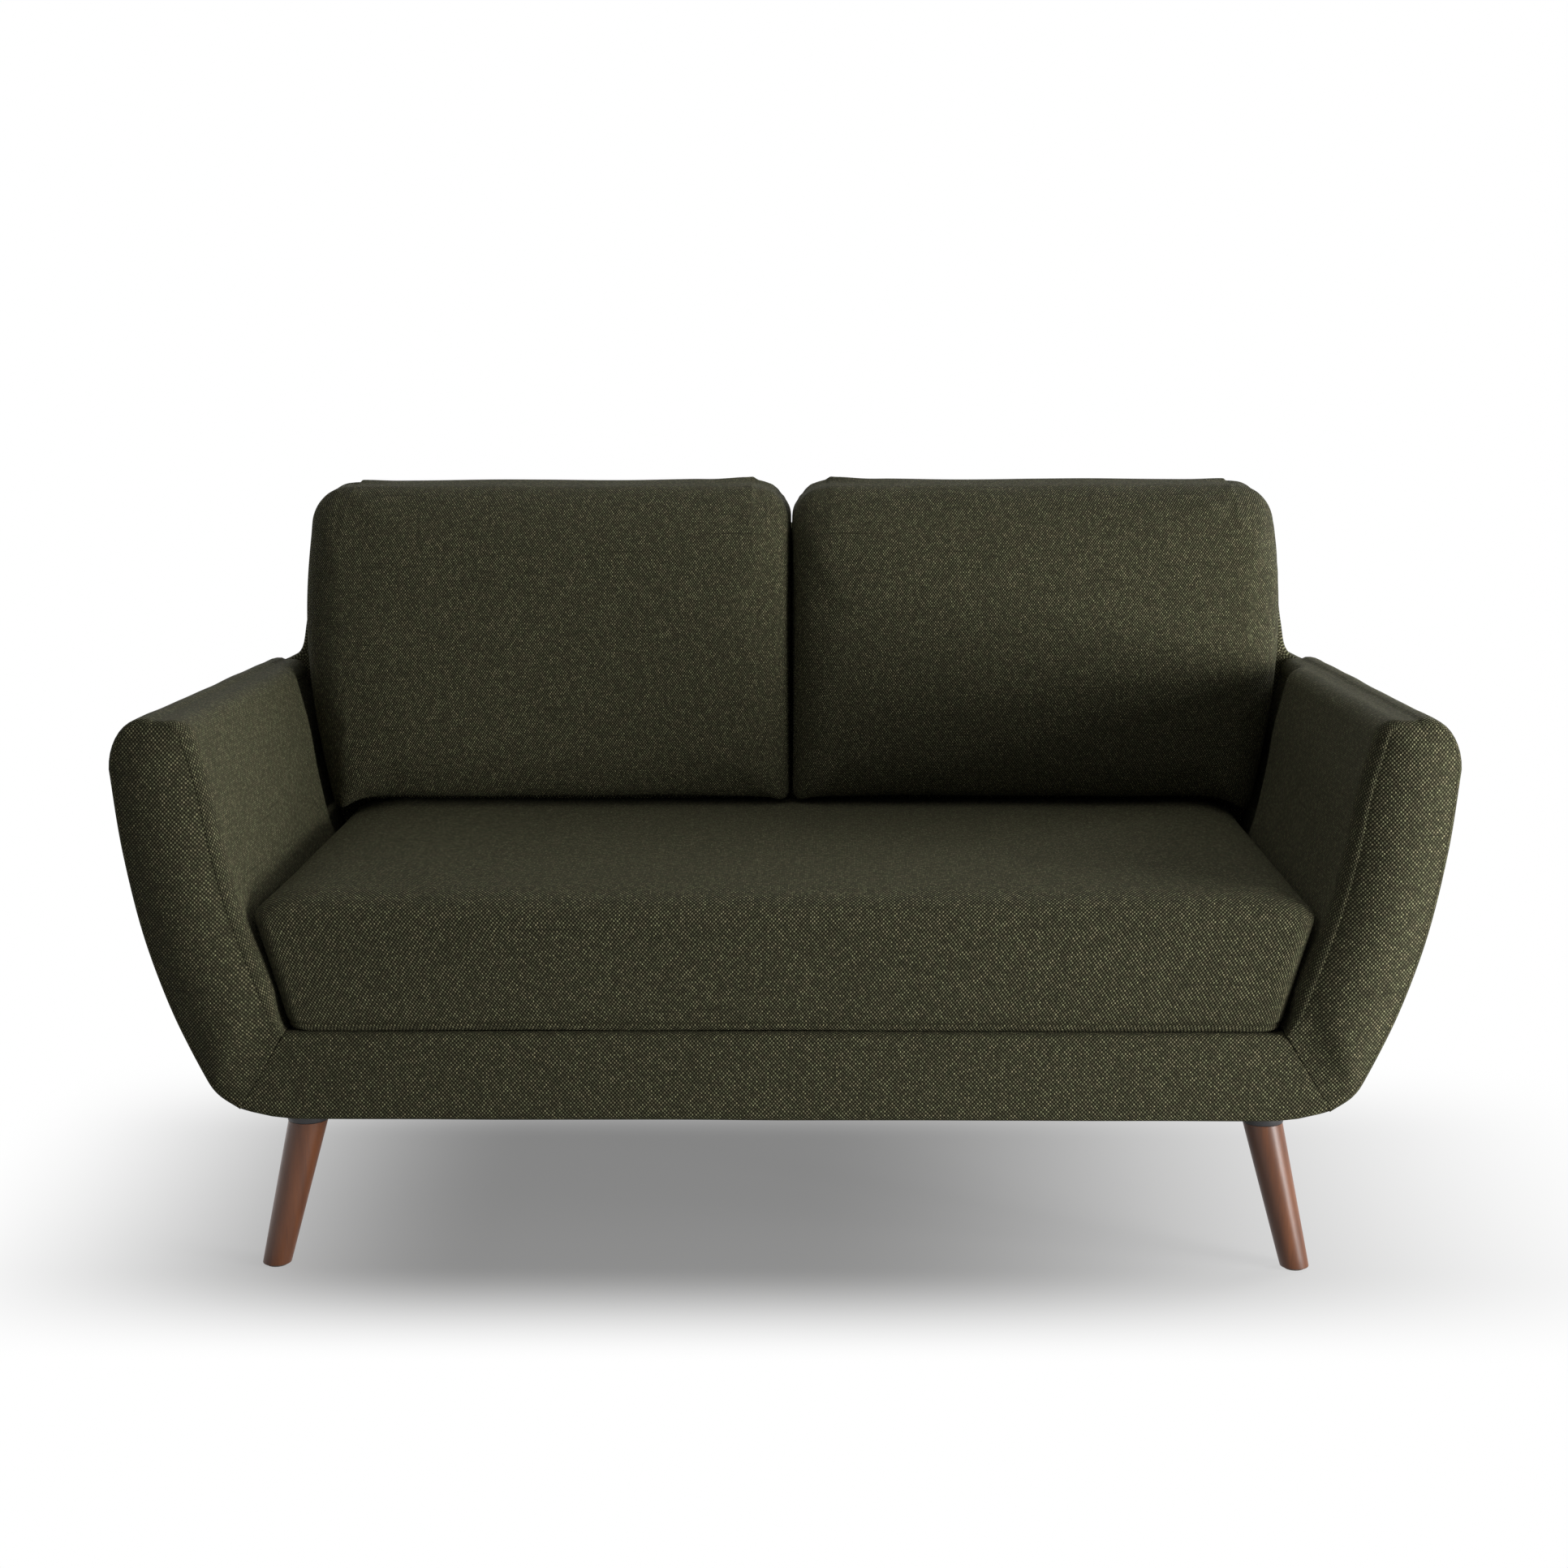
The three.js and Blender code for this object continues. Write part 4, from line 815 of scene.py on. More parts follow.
def cover_arm(settings):
    """The right arm's cover: face panel, seam, rounded band and sides back to the settee's back."""
    outside, inside, inset, seam_depths = arm_widths(settings)
    count = len(inset)
    line = arm_section(ARM_HEIGHT)
    front = swollen(line, [out + inner for out, inner in zip(outside, inside)])
    front_normals = outward(line)
    lengths = run_lengths(front)
    seam = [p - n * w for p, n, w in zip(front, front_normals, inset)]
    rows = []
    half_seam = settings.seam_width / 2
    rows.append(([p - n * half_seam for p, n in zip(seam, front_normals)], [0.05 * MM] * count))
    rows.append((seam, seam_depths))
    rows.append(([p + n * half_seam for p, n in zip(seam, front_normals)], [0.1 * MM] * count))
    face_edge = rows[0][0]
    panels = Panels()

    # The band round the face turns from the front to the sides
    band_points, band_cloth = [], []
    for line, backs in rows[1:]:
        band_points.append([(p.x, FRONT_Y + back, p.y) for p, back in zip(line, backs)])
        band_cloth.append([(-back - 2 * half_seam, length) for back, length in zip(backs, lengths)])
    start_line = rows[2][0]
    depths = [w * 1.25 + 1 * MM for w in inset]
    sine, cosine = math.sin(FACE_LEAN), math.cos(FACE_LEAN)
    for step in range(1, TURN_STEPS + 1):
        share = step / TURN_STEPS
        angle = FACE_LEAN + (math.pi / 2 - FACE_LEAN) * share
        out, back = (math.sin(angle) - sine) / (1 - sine), 1 - math.cos(angle) / cosine
        row, cloth = [], []
        for p, q, depth, length in zip(start_line, front, depths, lengths):
            place = p.lerp(q, out)
            row.append((place.x, FRONT_Y + 0.1 * MM + depth * back, place.y))
            cloth.append((share * math.pi / 2 * depth, length))
        band_points.append(row)
        band_cloth.append(cloth)
    back_ends = [back_front_y(p.y) + 1 * MM for p in arm_section(arm_top_z(SEAT_BACK_Y))]
    for step in range(1, SIDE_ROWS + 1):
        share = step / SIDE_ROWS
        starts = [FRONT_Y + 0.1 * MM + depth for depth in depths]
        ys = [start + (end - start) * share for start, end in zip(starts, back_ends)]
        line = arm_section(arm_top_z(FRONT_Y + (SEAT_BACK_Y - FRONT_Y) * share))
        thinned = [smooth((y - GAP_START - back_front_y(p.y) + SEAT_BACK_Y) / GAP_DEPTH)
                   for y, p in zip(ys, line)]
        swell = [out + inner * (1 - thin) for out, inner, thin in zip(outside, inside, thinned)]
        places = swollen(line, swell)
        band_points.append([(place.x, y, place.y) for place, y in zip(places, ys)])
        band_cloth.append([(y - FRONT_Y + 0.57 * depth, length)
                           for y, depth, length in zip(ys, depths, lengths)])
    panels.grid(band_points, band_cloth, flip=True)

    def mitre_sink(step):
        """The face is drawn in where it meets the front rail's cover."""
        return settings.seam_depth * 0.8 * (1 - smooth(step / 1.5))

    # The face panel is a ladder between the outer and the inner edge
    groove = [(p.x, FRONT_Y + depth, p.y) for p, depth in zip(seam, seam_depths)]
    edge = [(p.x, FRONT_Y + 0.05 * MM + mitre_sink(min(i, count - 1 - i)), p.y)
            for i, p in enumerate(face_edge)]
    panels.grid([groove, edge], [[(p[0], p[2]) for p in groove], [(p[0], p[2]) for p in edge]], flip=False)
    face, face_cloth = [], []
    for k in range(ARM_STEPS + 1):
        outer = face_edge[k]
        inner = face_edge[count - 1 - k]
        row, cloth = [], []
        for column in range(FACE_COLUMNS + 1):
            share = column / FACE_COLUMNS
            if k == ARM_STEPS:
                place = face_edge[ARM_STEPS + column]
            else:
                place = outer.lerp(inner, share)
            across = 1 - (2 * share - 1) ** 2
            from_mitre = smooth(k / 16)
            from_top = smooth((ARM_STEPS - k) / 12)
            lift = settings.face_crown * (inner - outer).length * across * from_mitre * from_top
            row.append((place.x, FRONT_Y + 0.05 * MM - lift + mitre_sink(k), place.y))
            cloth.append((place.x, place.y))
        face.append(row)
        face_cloth.append(cloth)
    panels.grid(face, face_cloth, flip=True)

    # The strip under the arm, behind the front rail's cover
    under, under_cloth = [], []
    for step in range(13):
        y = RAIL_HIGH.y + (SEAT_BACK_Y - RAIL_HIGH.y) * step / 12
        xs = [ARM_FOOT_X + (MITRE_FOOT.x - ARM_FOOT_X) * column / 4 for column in range(5)]
        under.append([(x, y, underside_z(x)) for x in xs])
        under_cloth.append([(y - FRONT_Y, x - MITRE_FOOT.x) for x in xs])
    panels.grid(under, under_cloth, flip=True)
    piece = panels.make("arm_upholstery_right")
    unevenness(piece, settings.foam_unevenness, 110 * MM, 3.1)
    thicken(piece, settings.cloth_thickness)
    return piece


class SETTEE_OT_cover_arms(bpy.types.Operator):
    """Cover both arms"""
    bl_idname = "settee.cover_arms"
    bl_label = "Cover the arms"

    def execute(self, context):
        right = cover_arm(context.scene.settee_upholstery)
        left = mirror_copy(right, "arm_upholstery_left")
        for piece, side in ((right, "right"), (left, "left")):
            dress(piece, woven_cover(context), "settee_frame", "olive_fabric", f"arm_cover_{side}")
        return {"FINISHED"}


def cover_front_rail(settings):
    """The front rail's cover: rounded along its edges, with ends drawn in along the mitres."""
    radius = settings.rail_round
    height = FRAME_TOP - BASE_Z
    # Each section point: its depth behind the front, and its distance below the top or above the foot
    section = [(25 * MM, 0.0, None), (17 * MM, 0.0, None)]
    for step in range(7):
        angle = step / 6 * math.pi / 2
        section.append((radius * (1 - math.sin(angle)), radius * (1 - math.cos(angle)), None))
    for step in range(1, 12):
        section.append((0.0, None, step / 12))
    for step in range(7):
        angle = step / 6 * math.pi / 2
        section.append((radius * (1 - math.cos(angle)), -radius * (1 - math.sin(angle)), 1))
    for depth in (24 * MM, 45 * MM, 68 * MM, RAIL_HIGH.y - RAIL_LOW.y):
        section.append((depth, 0.0, 1))
    near_end = [0, 0.7 * MM, 1.6 * MM, 3 * MM, 6 * MM, 12 * MM]
    shares = [1 - distance / MITRE_HEAD.x for distance in near_end]
    inner = 26
    shares += [shares[-1] * (1 - step / inner) for step in range(1, inner + 1)]
    shares = [-share for share in shares[:-1]] + shares[::-1]
    points, cloth = [], []
    length = 0.0
    before = None
    for depth, drop, q in section:
        row, row_cloth = [], []
        for share in shares:
            foot_z = underside_z(abs(share) * MITRE_FOOT.x)
            if q is None:
                z = FRAME_TOP - drop
            elif q == 1:
                z = foot_z - drop
            else:
                top, foot = FRAME_TOP - radius, foot_z + radius
                z = top + (foot - top) * q
            down = (FRAME_TOP - z) / (FRAME_TOP - foot_z)
            end_x = MITRE_HEAD.x + (MITRE_FOOT.x - MITRE_HEAD.x) * down
            x = share * end_x
            from_end = (1 - abs(share)) * MITRE_HEAD.x
            sunk = settings.seam_depth * 0.8 * max(0, 1 - from_end / (3 * MM)) ** 2
            sunk = sunk if q is None or q <= 1 else 0
            row.append((x, FRONT_Y + depth + (sunk if depth < 12 * MM else 0), z))
        middle = Vector(row[len(row) // 2])
        length += (middle - before).length if before else 0
        before = middle
        cloth.append([(p[0], -length) for p in row])
        points.append(row)
    panels = Panels()
    panels.grid(points, cloth, flip=True)
    piece = panels.make("front_rail_upholstery")
    unevenness(piece, settings.foam_unevenness * 0.5, 130 * MM, 7.7)
    thicken(piece, settings.cloth_thickness)
    return piece


class SETTEE_OT_cover_front_rail(bpy.types.Operator):
    """Cover the front rail"""
    bl_idname = "settee.cover_front_rail"
    bl_label = "Cover the front rail"

    def execute(self, context):
        piece = cover_front_rail(context.scene.settee_upholstery)
        dress(piece, woven_cover(context), "settee_frame", "olive_fabric", "front_rail_cover")
        return {"FINISHED"}


def back_half_outline(outer_swell):
    """The right half of the back's outline, from its flat underside to its flat top."""
    curve_x = MITRE_FOOT.x - UNDERSIDE_CURVE_WIDTH
    start = [Vector((curve_x + (MITRE_FOOT.x - curve_x) * step / 6, 0)) for step in range(6)]
    start = [Vector((p.x, underside_z(p.x))) for p in start]
    side = outer_side(arm_top_z(SEAT_BACK_Y), 44)
    widest = side[-1]
    shoulder = [(BACK_TOP_HALF_WIDTH + (widest.x - BACK_TOP_HALF_WIDTH) * out,
                 widest.y + (BACK_HEIGHT - widest.y) * up) for out, up in SHOULDER_SHARES]
    half = start + side + spline(shoulder, 44)[1:]
    above_widest = len(start) + len(side)
    swell = [outer_swell * smooth((i - len(start)) / 3) * (1 - smooth((i - above_widest) / 4))
             for i in range(len(half))]
    return swollen(half, swell)


def cover_back(settings):
    """The back's cover: front and rear faces joined by a rounded border."""
    half = back_half_outline(settings.outer_swell)
    columns = 40
    levels = len(half)
    foot = [Vector((half[0].x * (2 * c / columns - 1), half[0].y)) for c in range(columns + 1)]
    head = [Vector((half[-1].x * (1 - 2 * c / columns), half[-1].y)) for c in range(columns + 1)]
    left = [Vector((-p.x, p.y)) for p in reversed(half)]
    ring = foot[:-1] + half[:-1] + head[:-1] + left[:-1]
    normals = outward(ring, closed=True)
    lengths = run_lengths(ring + ring[:1])

    def ring_at(inset):
        return [p - n * inset for p, n in zip(ring, normals)]

    def face_of(edge, y_at, bulge, flip, keep=None):
        rows, cloth = [], []
        for level in range(levels):
            if level == 0:
                line = edge[:columns + 1]
            elif level == levels - 1:
                line = edge[columns + levels - 1:2 * columns + levels][::-1]
            else:
                right = edge[columns + level]
                left_place = edge[-level]
                line = [left_place.lerp(right, c / columns) for c in range(columns + 1)]
            row = []
            for c, p in enumerate(line):
                across = 1 - (2 * c / columns - 1) ** 4
                upward = 1 - (2 * level / (levels - 1) - 1) ** 4
                row.append((p.x, y_at(p.y) + bulge * across * upward, p.y))
            rows.append(row)
            cloth.append([(p.x, p.y) for p in line])
        panels.grid(rows, cloth, flip=flip, keep=keep)

    panels = Panels()
    front_round, rear_round = settings.back_round, BACK_TOP_ROUND * 0.7
    seam_width, seam_depth = settings.seam_width, settings.seam_depth

    def front(z):
        return back_front_y(min(z, BACK_HEIGHT - 5 * MM))

    def rear(z):
        return back_rear_y(z)

    profile = [(front_round + seam_width, 0.0, 0), (front_round, seam_depth, 0)]
    for step in range(1, 7):
        angle = step / 6 * math.pi / 2
        profile.append((front_round * (1 - math.sin(angle)), front_round * (1 - math.cos(angle)), 0))
    walls = 5
    for step in range(1, walls):
        profile.append((0.0, step / walls, 1))
    for step in range(0, 7):
        angle = step / 6 * math.pi / 2
        profile.append((rear_round * (1 - math.cos(angle)), rear_round * (1 - math.sin(angle)), 2))
    profile.append((rear_round + seam_width / 2, seam_depth, 2))
    profile.append((rear_round + seam_width, 0.0, 2))
    rows, cloth = [], []
    depth_run = 0.0
    for inset, depth, part in profile:
        line = ring_at(inset)
        row = []
        for p in line:
            start, end = front(p.y) + front_round, rear(p.y) - rear_round
            if part == 0:
                y = front(p.y) + depth
            elif part == 1:
                y = start + (end - start) * depth
            else:
                y = rear(p.y) - depth
            row.append((p.x, y, p.y))
        row.append(row[0])
        rows.append(row)
        depth_run = row[columns + levels // 2][1] + inset
        cloth.append([(length, depth_run) for length in lengths])
    panels.grid(rows, cloth, flip=True)

    def above_deck(level, column):
        place = half[level]
        across = abs(2 * column / columns - 1) * place.x
        return not (place.y < FRAME_TOP - 12 * MM and across < MITRE_HEAD.x - 20 * MM)

    face_of(ring_at(front_round + seam_width), front, 0.0, False, keep=above_deck)
    face_of(ring_at(rear_round + seam_width), rear, 4 * MM, True)
    piece = panels.make("back_upholstery")
    unevenness(piece, settings.foam_unevenness, 140 * MM, 5.3)
    thicken(piece, settings.cloth_thickness)
    return piece


class SETTEE_OT_cover_back(bpy.types.Operator):
    """Cover the back"""
    bl_idname = "settee.cover_back"
    bl_label = "Cover the back"

    def execute(self, context):
        piece = cover_back(context.scene.settee_upholstery)
        dress(piece, woven_cover(context), "settee_frame", "olive_fabric", "back_cover")
        return {"FINISHED"}


# Loose cushions

BACK_CUSHION_THICKNESS = 110 * MM
BACK_CUSHION_LIFT = 1 * MM
BACK_CUSHION_CORNERS = (16 * MM, 59 * MM, 50 * MM)
# The two cushions press on each other. Each stays this far from the middle at its top and foot
PARTING_TOP = 0.5 * MM
PARTING_FOOT = 2.5 * MM
PRESSED = 7.5 * MM
# How far the seat cushion's top and the back cushions' foot stay below the solids
SEAT_GIVE = 7 * MM
FOOT_GIVE = 8 * MM
# How much higher the middle of a back cushion's top stands than the swelling leaves it
TOP_LEVEL = 1.4 * MM
# How far a back cushion's top corners start below its top
CORNER_DROP = 2.4 * MM
# Where each ear's step stands, from the inner and from the outer side
EAR_PLACES = (58 * MM, 53 * MM)
WALL_ROWS = [(share, 0.0) for share in (0, 0.14, 0.28, 0.42, 0.56, 0.7, 0.82, 0.9)]
SEAM_ROWS = [(0.96, 0.0), (0.99, 0.35), (1.0, 1.0), (1.12, 0.35), (1.3, 0.0), (1.6, 0.0), (2.0, 0.0)]


class SETTEE_OT_lay_seat_cushion(bpy.types.Operator):
    """Lay the seat cushion"""
    bl_idname = "settee.lay_seat_cushion"
    bl_label = "Lay the seat cushion"

    def execute(self, context):
        settings = context.scene.settee_cushions
        low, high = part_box("seat_cushion")
        crown = 1 * MM
        size = (1234 * MM, high.y - low.y + 2 * 0.7 * MM, high.z - low.z - SEAT_GIVE)
        cushion = Cushion(
            size, corner=(24 * MM,) * 3, under_round=9 * MM, side=(66 * MM, 27 * MM), front=(48 * MM, 36 * MM),
            rear=(30 * MM, 20 * MM), crown=crown, draw_in=4 * MM, cell=settings.cell)
        piece = cushion.panels(WALL_ROWS + SEAM_ROWS, (0.0, 0.0)).make("seat_cushion_soft")
        puff(piece, settings, 3 * MM, settings.cap / 3)
        narrow = 1156 / 1234
        side_edge = size[2] - 27 * MM
        middle_y = (low.y + high.y) / 2

        def stand(x, y, z):
            narrowed = narrow + (1 - narrow) * min(1, z / side_edge)
            pressed = 5 * MM * smooth((y + 50 * MM) / (300 * MM)) * z / size[2]
            return x * narrowed, y + middle_y, z + low.z - pressed

        warp(piece, stand)
        unevenness(piece, 1 * MM, 160 * MM, 1.9)
        refine(piece, settings.groove)
        dress(piece, woven_cover(context), "loose_seat_cushion", "olive_fabric", "seat_cushion")
        return {"FINISHED"}


def back_cushion(settings):
    """The right back cushion, made lying on its back and then stood against the back."""
    low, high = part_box("back_cushion_right")
    foot_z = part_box("seat_cushion")[1].z + BACK_CUSHION_LIFT - FOOT_GIVE
    parting, reach = low.x - PRESSED, high.x + settings.side_fullness
    width = reach - parting
    ear_lines = [side * (width / 2 - place) - side * step * MM
                 for side, place in zip((-1, 1), EAR_PLACES) for step in (-1, 1, 3)]
    height = (high.z - foot_z) / math.cos(RECLINE) + settings.top_fullness
    cushion = Cushion(
        (width, height, BACK_CUSHION_THICKNESS), corner=BACK_CUSHION_CORNERS, under_round=8 * MM,
        side=(34 * MM, 32 * MM), front=(22 * MM, 20 * MM), rear=(42 * MM, 38 * MM),
        crown=22 * MM, draw_in=2 * MM, cell=settings.cell, lines=ear_lines)
    panels = cushion.panels(WALL_ROWS + SEAM_ROWS, (0.7, 0.9), closer=(1.19, 1.03))
    piece = panels.make("back_cushion_soft_right")
    puff(piece, settings, 3 * MM, settings.cap)
    foot_y = back_front_y(foot_z) - 0.3 * MM
    droop_width, droop_depth = 75 * MM, 20 * MM

    def ear(x, y, z):
        """The rear seam ends in a small step near each top corner, past which the corner is lower."""
        inwards = width / 2 - abs(x) - EAR_PLACES[1 if x > 0 else 0]
        inside = smooth(0.5 + inwards / (2 * MM))
        along = inside * (1 - smooth((inwards - 8 * MM) / (34 * MM)))
        at_rear = 1 - smooth((z - 10 * MM) / (30 * MM))
        outside = (1 - inside) * smooth(1 + inwards / (45 * MM))
        rise = settings.ear_height * along * at_rear - CORNER_DROP * outside
        return rise * smooth((y - height * 0.3) / (height * 0.1))

    def stand(x, y, z):
        up = y / height + 0.5
        out = x / width + 0.5
        bow = 1 - 0.194 * (up - 0.6) ** 2
        rise = ear(x, y, z) + TOP_LEVEL * (1 - (2 * out - 1) ** 2) * smooth(2 * up - 1)
        x = parting + (reach * bow - parting) * out
        x = max(x, PARTING_TOP + (PARTING_FOOT - PARTING_TOP) * (1 - up))
        past = min(1, max(0, (x - reach * bow + droop_width) / droop_width))
        y = y + height / 2 - droop_depth * past * past * (1 - up) ** 4
        lean_y = math.sin(RECLINE) * y - z
        return x, foot_y + lean_y, foot_z + math.cos(RECLINE) * y + rise

    unevenness(piece, 1.5 * MM, 120 * MM, 4.4)
    warp(piece, stand)
    refine(piece, settings.groove)
    return piece


class SETTEE_OT_stand_back_cushions(bpy.types.Operator):
    """Stand both back cushions"""
    bl_idname = "settee.stand_back_cushions"
    bl_label = "Stand the back cushions"

    def execute(self, context):
        right = back_cushion(context.scene.settee_cushions)
        left = mirror_copy(right, "back_cushion_soft_left")
        for piece, side in ((right, "right"), (left, "left")):
            node = f"back_cushion_{side}"
            dress(piece, woven_cover(context), f"loose_{node[:12]}_{side}", "olive_fabric", node)
        return {"FINISHED"}


class SETTEE_OT_lay_deck(bpy.types.Operator):
    """Lay the seat deck's pad and stretch the dust cover"""
    bl_idname = "settee.lay_deck"
    bl_label = "Lay the deck pad and dust cover"

    def execute(self, context):
        lining = lining_material()
        size = DECK_HIGH - DECK_LOW
        cushion = Cushion(
            size, corner=(8 * MM,) * 3, under_round=3 * MM, side=(14 * MM, 5 * MM), front=(14 * MM, 5 * MM),
            rear=(14 * MM, 5 * MM), crown=0.0, draw_in=0.0, cell=30 * MM)
        rows = [(share, 0.0) for share in (0, 0.5, 1, 1.5, 2)]
        pad = cushion.panels(rows, (0.0, 0.0)).make("deck_pad_lining")
        middle = (DECK_LOW + DECK_HIGH) / 2
        pad.data.transform(Matrix.Translation((middle.x, middle.y, DECK_LOW.z)))
        dress(pad, lining, "settee_frame", "lining_fabric", "seat_deck_pad")
        size = DUST_HIGH - DUST_LOW
        rows, cloth = [], []
        for i in range(25):
            y = DUST_LOW.y + size.y * i / 24
            row = []
            for j in range(49):
                x = DUST_LOW.x + size.x * j / 48
                slack = (1 - (2 * i / 24 - 1) ** 4) * (1 - (2 * j / 48 - 1) ** 4)
                ripple = noise.noise(Vector((x * 9, y * 9, 2.2)))
                row.append((x, y, DUST_HIGH.z - 0.4 * MM - 2.5 * MM * slack * (0.6 + 0.5 * ripple)))
            rows.append(row)
            cloth.append([(p[0], p[1]) for p in row])
        panels = Panels()
        panels.grid(rows, cloth)
        sheet = panels.make("dust_cover_cloth")
        thicken(sheet, 0.8 * MM)
        dress(sheet, lining, "settee_frame", "lining_fabric", "dust_cover")
        return {"FINISHED"}


# Legs

LEG_FOOT_RADIUS = 17 * MM
LEG_FOOT_ROUND = 1.3 * MM
COLLAR_FLARE = 0.7 * MM


def turned(name, rings, sides=48):
    """A solid turned about a line: each ring is its centre and radius, and the ends are closed."""
    mesh = bmesh.new()
    loops = []
    for centre, radius in rings:
        angles = (2 * math.pi * step / sides for step in range(sides))
        loops.append([mesh.verts.new((centre.x + radius * math.cos(a), centre.y + radius * math.sin(a), centre.z))
                      for a in angles])
    for lower, upper in zip(loops, loops[1:]):
        for step in range(sides):
            after = (step + 1) % sides
            mesh.faces.new((lower[step], lower[after], upper[after], upper[step]))
    mesh.faces.new(loops[0][::-1])
    mesh.faces.new(loops[-1])
    data = bpy.data.meshes.new(name)
    mesh.to_mesh(data)
    mesh.free()
    data.shade_smooth()
    data.set_sharp_from_angle(angle=math.radians(50))
    piece = bpy.data.objects.new(name, data)
    bpy.context.scene.collection.objects.link(piece)
    return piece


class SETTEE_OT_turn_legs(bpy.types.Operator):
    """Turn the legs and mould their collars"""
    bl_idname = "settee.turn_legs"
    bl_label = "Turn the legs"

    def execute(self, context):
        walnut = wood_material("walnut_stain", (0.1, 0.029, 0.007), (0.17, 0.052, 0.013), 0.38, 0.2)
        plastic = plain_material("black_plastic", (0.018, 0.018, 0.019), (0.03, 0.03, 0.032), 900, 0.45, 0.05 * MM)
        for corner in ("front_right", "front_left", "rear_right", "rear_left"):
            glide_low, glide_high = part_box(f"foot_glide_{corner}")
            collar_low, collar_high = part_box(f"leg_collar_{corner}")
            leg_low, leg_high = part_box(f"leg_{corner}")
            foot = (glide_low + glide_high) / 2
            head = (collar_low + collar_high) / 2
            foot.z, head.z = leg_low.z, leg_high.z
            collar_radius = (collar_high.x - collar_low.x) / 2
            top_radius = collar_radius - COLLAR_FLARE
            rings = []
            for step in range(6):
                angle = step / 5 * math.pi / 2
                height = LEG_FOOT_ROUND * (1 - math.cos(angle))
                rings.append((height, LEG_FOOT_RADIUS - LEG_FOOT_ROUND * (1 - math.sin(angle))))
            length = head.z - foot.z
            for step in range(1, 15):
                share = LEG_FOOT_ROUND / length + (1 - LEG_FOOT_ROUND / length) * step / 14
                rings.append((share * length, LEG_FOOT_RADIUS + (top_radius - LEG_FOOT_RADIUS) * share))
            rings = [(foot.lerp(head, height / length), radius) for height, radius in rings]
            leg = turned(f"leg_turned_{corner}", rings)
            dress(leg, walnut, "settee_frame", "walnut_stain", f"leg_{corner}")
            radius = collar_radius
            edge = 1 * MM
            low, high = collar_low.z, collar_high.z
            levels = [(low, radius - edge), (low + 0.3 * MM, radius - 0.3 * MM), (low + edge, radius),
                      (high - edge, radius), (high - 0.3 * MM, radius - 0.3 * MM), (high, radius - edge)]
            centre = (collar_low + collar_high) / 2
            collar = turned(f"collar_moulded_{corner}", [(Vector((centre.x, centre.y, z)), r) for z, r in levels])
            dress(collar, plastic, "settee_frame", "black_plastic", f"leg_collar_{corner}")
        return {"FINISHED"}


# Finishes of the frame and of what lies inside

def woven_cover(context):
    """The olive weave, made once."""
    return bpy.data.materials.get("olive_weave") or fabric_material(context.scene.settee_cloth)


def lining_material():
    name = "lining_cloth"
    if name in bpy.data.materials:
        return bpy.data.materials[name]
    return plain_material(name, (0.010, 0.010, 0.010), (0.02, 0.02, 0.019), 1500, 0.9, 0.2 * MM)


class SETTEE_OT_finish_frame(bpy.types.Operator):
    """Finish the timber, springs, webbing and fastenings"""
    bl_idname = "settee.finish_frame"
    bl_label = "Finish the frame"

    def execute(self, context):
        timber = wood_material("plain_timber", (0.42, 0.26, 0.12), (0.62, 0.43, 0.24), 0.6, 0, along=(5, 90, 90))
        upright = wood_material("upright_timber", (0.42, 0.26, 0.12), (0.62, 0.43, 0.24), 0.6, 0, along=(90, 90, 5))
        ply = wood_material("plywood", (0.5, 0.34, 0.18), (0.66, 0.48, 0.28), 0.62, 0, along=(60, 60, 8))
        steel = plain_material("spring_steel", (0.22, 0.23, 0.24), (0.34, 0.35, 0.37), 400, 0.34, 0.02 * MM, 1, (1, 6, 6))
        zinc = plain_material("zinc_steel", (0.42, 0.43, 0.45), (0.56, 0.57, 0.58), 260, 0.38, 0.03 * MM, 1)
        felt = plain_material("felt_grey", (0.07, 0.066, 0.06), (0.12, 0.115, 0.105), 1800, 0.95, 0.3 * MM)
        webbing = plain_material("webbing_cloth", (0.02, 0.018, 0.015), (0.045, 0.04, 0.034), 700, 0.9, 0.3 * MM, 0, (1, 5, 1))
        finishes = (
            ("hanger_bolt", zinc), ("foot_glide", felt), ("leg_block", timber), ("front_rail", timber),
            ("rear_rail", timber), ("centre_stretcher", timber), ("side_rail", timber), ("back_post", upright),
            ("back_top_rail", timber), ("arm_front_panel", ply), ("arm_rear_panel", ply),
            ("arm_top_rail", timber), ("arm_lower_rail", timber), ("spring_clip_strip", zinc),
            ("seat_spring", steel), ("back_webbing", webbing),
        )
        for name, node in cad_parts.items():
            if node.hide_render:
                continue
            found = [finish for start, finish in finishes if name.startswith(start)]
            if not found:
                raise RuntimeError(f"no finish for {name}")
            node.data.materials.clear()
            node.data.materials.append(found[0])
        return {"FINISHED"}


# Stage

def area_light(name, place, target, size, power, colour=(1, 1, 1)):
    data = bpy.data.lights.new(name, "AREA")
    data.shape = "RECTANGLE"
    data.size, data.size_y = size
    data.energy = power
    data.color = colour
    light = bpy.data.objects.new(name, data)
    light.location = place
    light.rotation_euler = (Vector(target) - Vector(place)).to_track_quat("-Z", "Y").to_euler()
    bpy.context.scene.collection.objects.link(light)
    return light


def seen_rays(tree):
    """1 for the rays that see the background: camera, glossy and transmission rays."""
    path = wire(tree, "LightPath")
    seen = calc(tree, "MAXIMUM", path.outputs["Is Camera Ray"], path.outputs["Is Glossy Ray"])
    return calc(tree, "MAXIMUM", seen, path.outputs["Is Transmission Ray"])


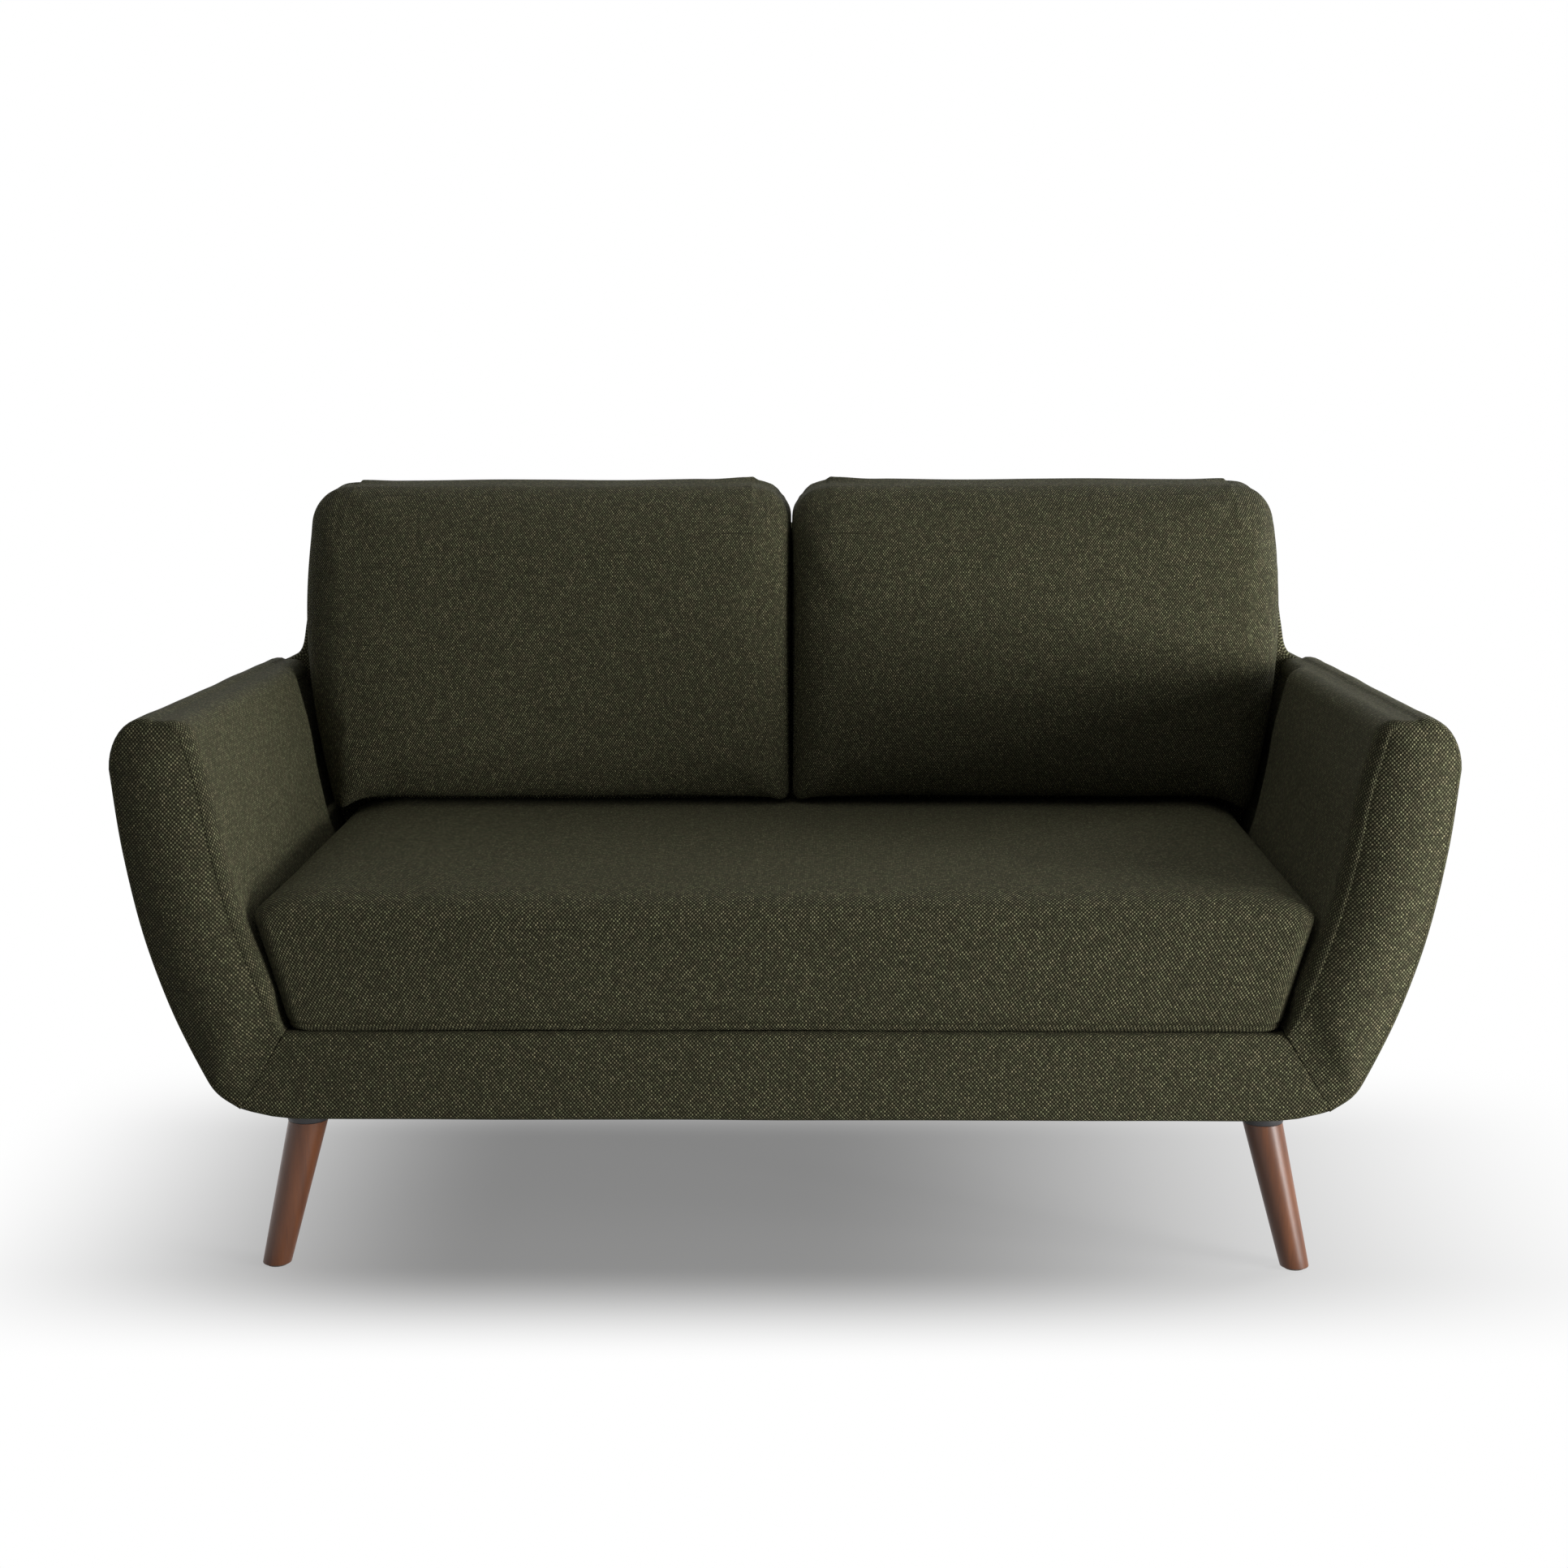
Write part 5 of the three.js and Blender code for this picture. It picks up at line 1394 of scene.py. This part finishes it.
def floor_material(stage):
    """A pale floor that keeps the settee's shadow and fades to white round it."""
    material, tree, shader = new_material("pale_floor")
    shade(tree, shader, {}, {"Base Color": (*stage.floor_colour, 1), "Roughness": 0.9, "Specular IOR Level": 0.1})
    place = wire(tree, "TexCoord").outputs["Object"]
    axes = wire(tree, "SeparateXYZ", {0: place})
    unfaded = (
        ramp(tree, axes.outputs[1], -0.68, -0.38, 0.0, 1.0, smoothly=True),
        ramp(tree, axes.outputs[1], 0.1, 0.5, 1.0, 0.0, smoothly=True),
        ramp(tree, axes.outputs[0], -1.1, -0.35, 0.0, 1.0, smoothly=True),
        ramp(tree, axes.outputs[0], 0.0, 1.2, 1.0, 0.0, smoothly=True),
    )
    kept = 1 - stage.floor_lift
    for part in unfaded:
        kept = calc(tree, "MULTIPLY", kept, part)
    faded = calc(tree, "SUBTRACT", 1.0, kept)
    share = calc(tree, "MULTIPLY", faded, seen_rays(tree))
    white = wire(tree, "Emission", {"Color": (1, 1, 1, 1), "Strength": 1.0})
    mixed = wire(tree, "MixShader", {0: share, 1: shader.outputs[0], 2: white.outputs[0]})
    tree.links.new(mixed.outputs[0], tree.nodes["Material Output"].inputs[0])
    return material


class SETTEE_OT_set_stage(bpy.types.Operator):
    """Set the floor, the lights and the camera"""
    bl_idname = "settee.set_stage"
    bl_label = "Set the stage"

    def execute(self, context):
        stage = context.scene.settee_stage
        scene = context.scene
        mesh = bmesh.new()
        bmesh.ops.create_grid(mesh, x_segments=8, y_segments=8, size=9)
        data = bpy.data.meshes.new("floor")
        mesh.to_mesh(data)
        mesh.free()
        floor = bpy.data.objects.new("floor", data)
        floor.data.materials.append(floor_material(stage))
        scene.collection.objects.link(floor)
        middle = (0.1, -0.2, 0.45)
        area_light("key", stage.key_place, middle, (0.9, 0.9), stage.key_power)
        area_light("side", stage.side_place, middle, (0.8, 1.0), stage.side_power)
        area_light("rim", (2.8, 1.6, 1.9), (0.1, 0, 0.45), (1.2, 1.2), stage.rim_power)
        area_light("top", (0, 0.3, 2.8), (0, 0, 0.3), (2.4, 1.6), stage.top_power)
        world = bpy.data.worlds.new("studio")
        world.use_nodes = True
        tree = world.node_tree
        background = tree.nodes["Background"]
        level = ramp(tree, seen_rays(tree), 0, 1, stage.ambient, 1.0)
        tree.links.new(level, background.inputs["Strength"])
        background.inputs["Color"].default_value = (1, 1, 1, 1)
        scene.world = world
        data = bpy.data.cameras.new("camera")
        data.lens = stage.lens
        data.sensor_width = data.sensor_height = 36
        camera = bpy.data.objects.new("camera", data)
        turn = Matrix.Rotation(-stage.yaw, 4, "Z") @ Matrix.Rotation(math.pi / 2 - stage.pitch, 4, "X")
        turn = turn @ Matrix.Rotation(stage.roll, 4, "Z")
        camera.matrix_world = Matrix.Translation(stage.camera_place) @ turn
        scene.collection.objects.link(camera)
        scene.camera = camera
        scene.view_settings.view_transform = "Standard"
        return {"FINISHED"}


class SETTEE_PT_settings(bpy.types.Panel):
    """The settee's pieces and settings"""
    bl_label = "Settee"
    bl_idname = "SETTEE_PT_settings"
    bl_space_type = "VIEW_3D"
    bl_region_type = "UI"
    bl_category = "Settee"

    def draw(self, context):
        for operator in OPERATORS:
            self.layout.operator(operator.bl_idname)
        for name in GROUPS:
            group = getattr(context.scene, name)
            box = self.layout.box()
            for key in group.__annotations__:
                box.prop(group, key)


OPERATORS = (
    SETTEE_OT_cover_arms,
    SETTEE_OT_cover_front_rail,
    SETTEE_OT_cover_back,
    SETTEE_OT_lay_seat_cushion,
    SETTEE_OT_stand_back_cushions,
    SETTEE_OT_lay_deck,
    SETTEE_OT_turn_legs,
    SETTEE_OT_finish_frame,
    SETTEE_OT_set_stage,
)
GROUPS = {
    "settee_upholstery": SetteeUpholstery,
    "settee_cushions": SetteeCushions,
    "settee_cloth": SetteeCloth,
    "settee_stage": SetteeStage,
}


def register():
    for group in GROUPS.values():
        bpy.utils.register_class(group)
    for operator in OPERATORS:
        bpy.utils.register_class(operator)
    bpy.utils.register_class(SETTEE_PT_settings)
    for name, group in GROUPS.items():
        setattr(bpy.types.Scene, name, PointerProperty(type=group))


def unregister():
    for name in GROUPS:
        delattr(bpy.types.Scene, name)
    bpy.utils.unregister_class(SETTEE_PT_settings)
    for operator in reversed(OPERATORS):
        bpy.utils.unregister_class(operator)
    for group in reversed(list(GROUPS.values())):
        bpy.utils.unregister_class(group)


def main():
    register()
    for operator in OPERATORS:
        family, name = operator.bl_idname.split(".")
        getattr(getattr(bpy.ops, family), name)()


if __name__ == "__main__":
    main()
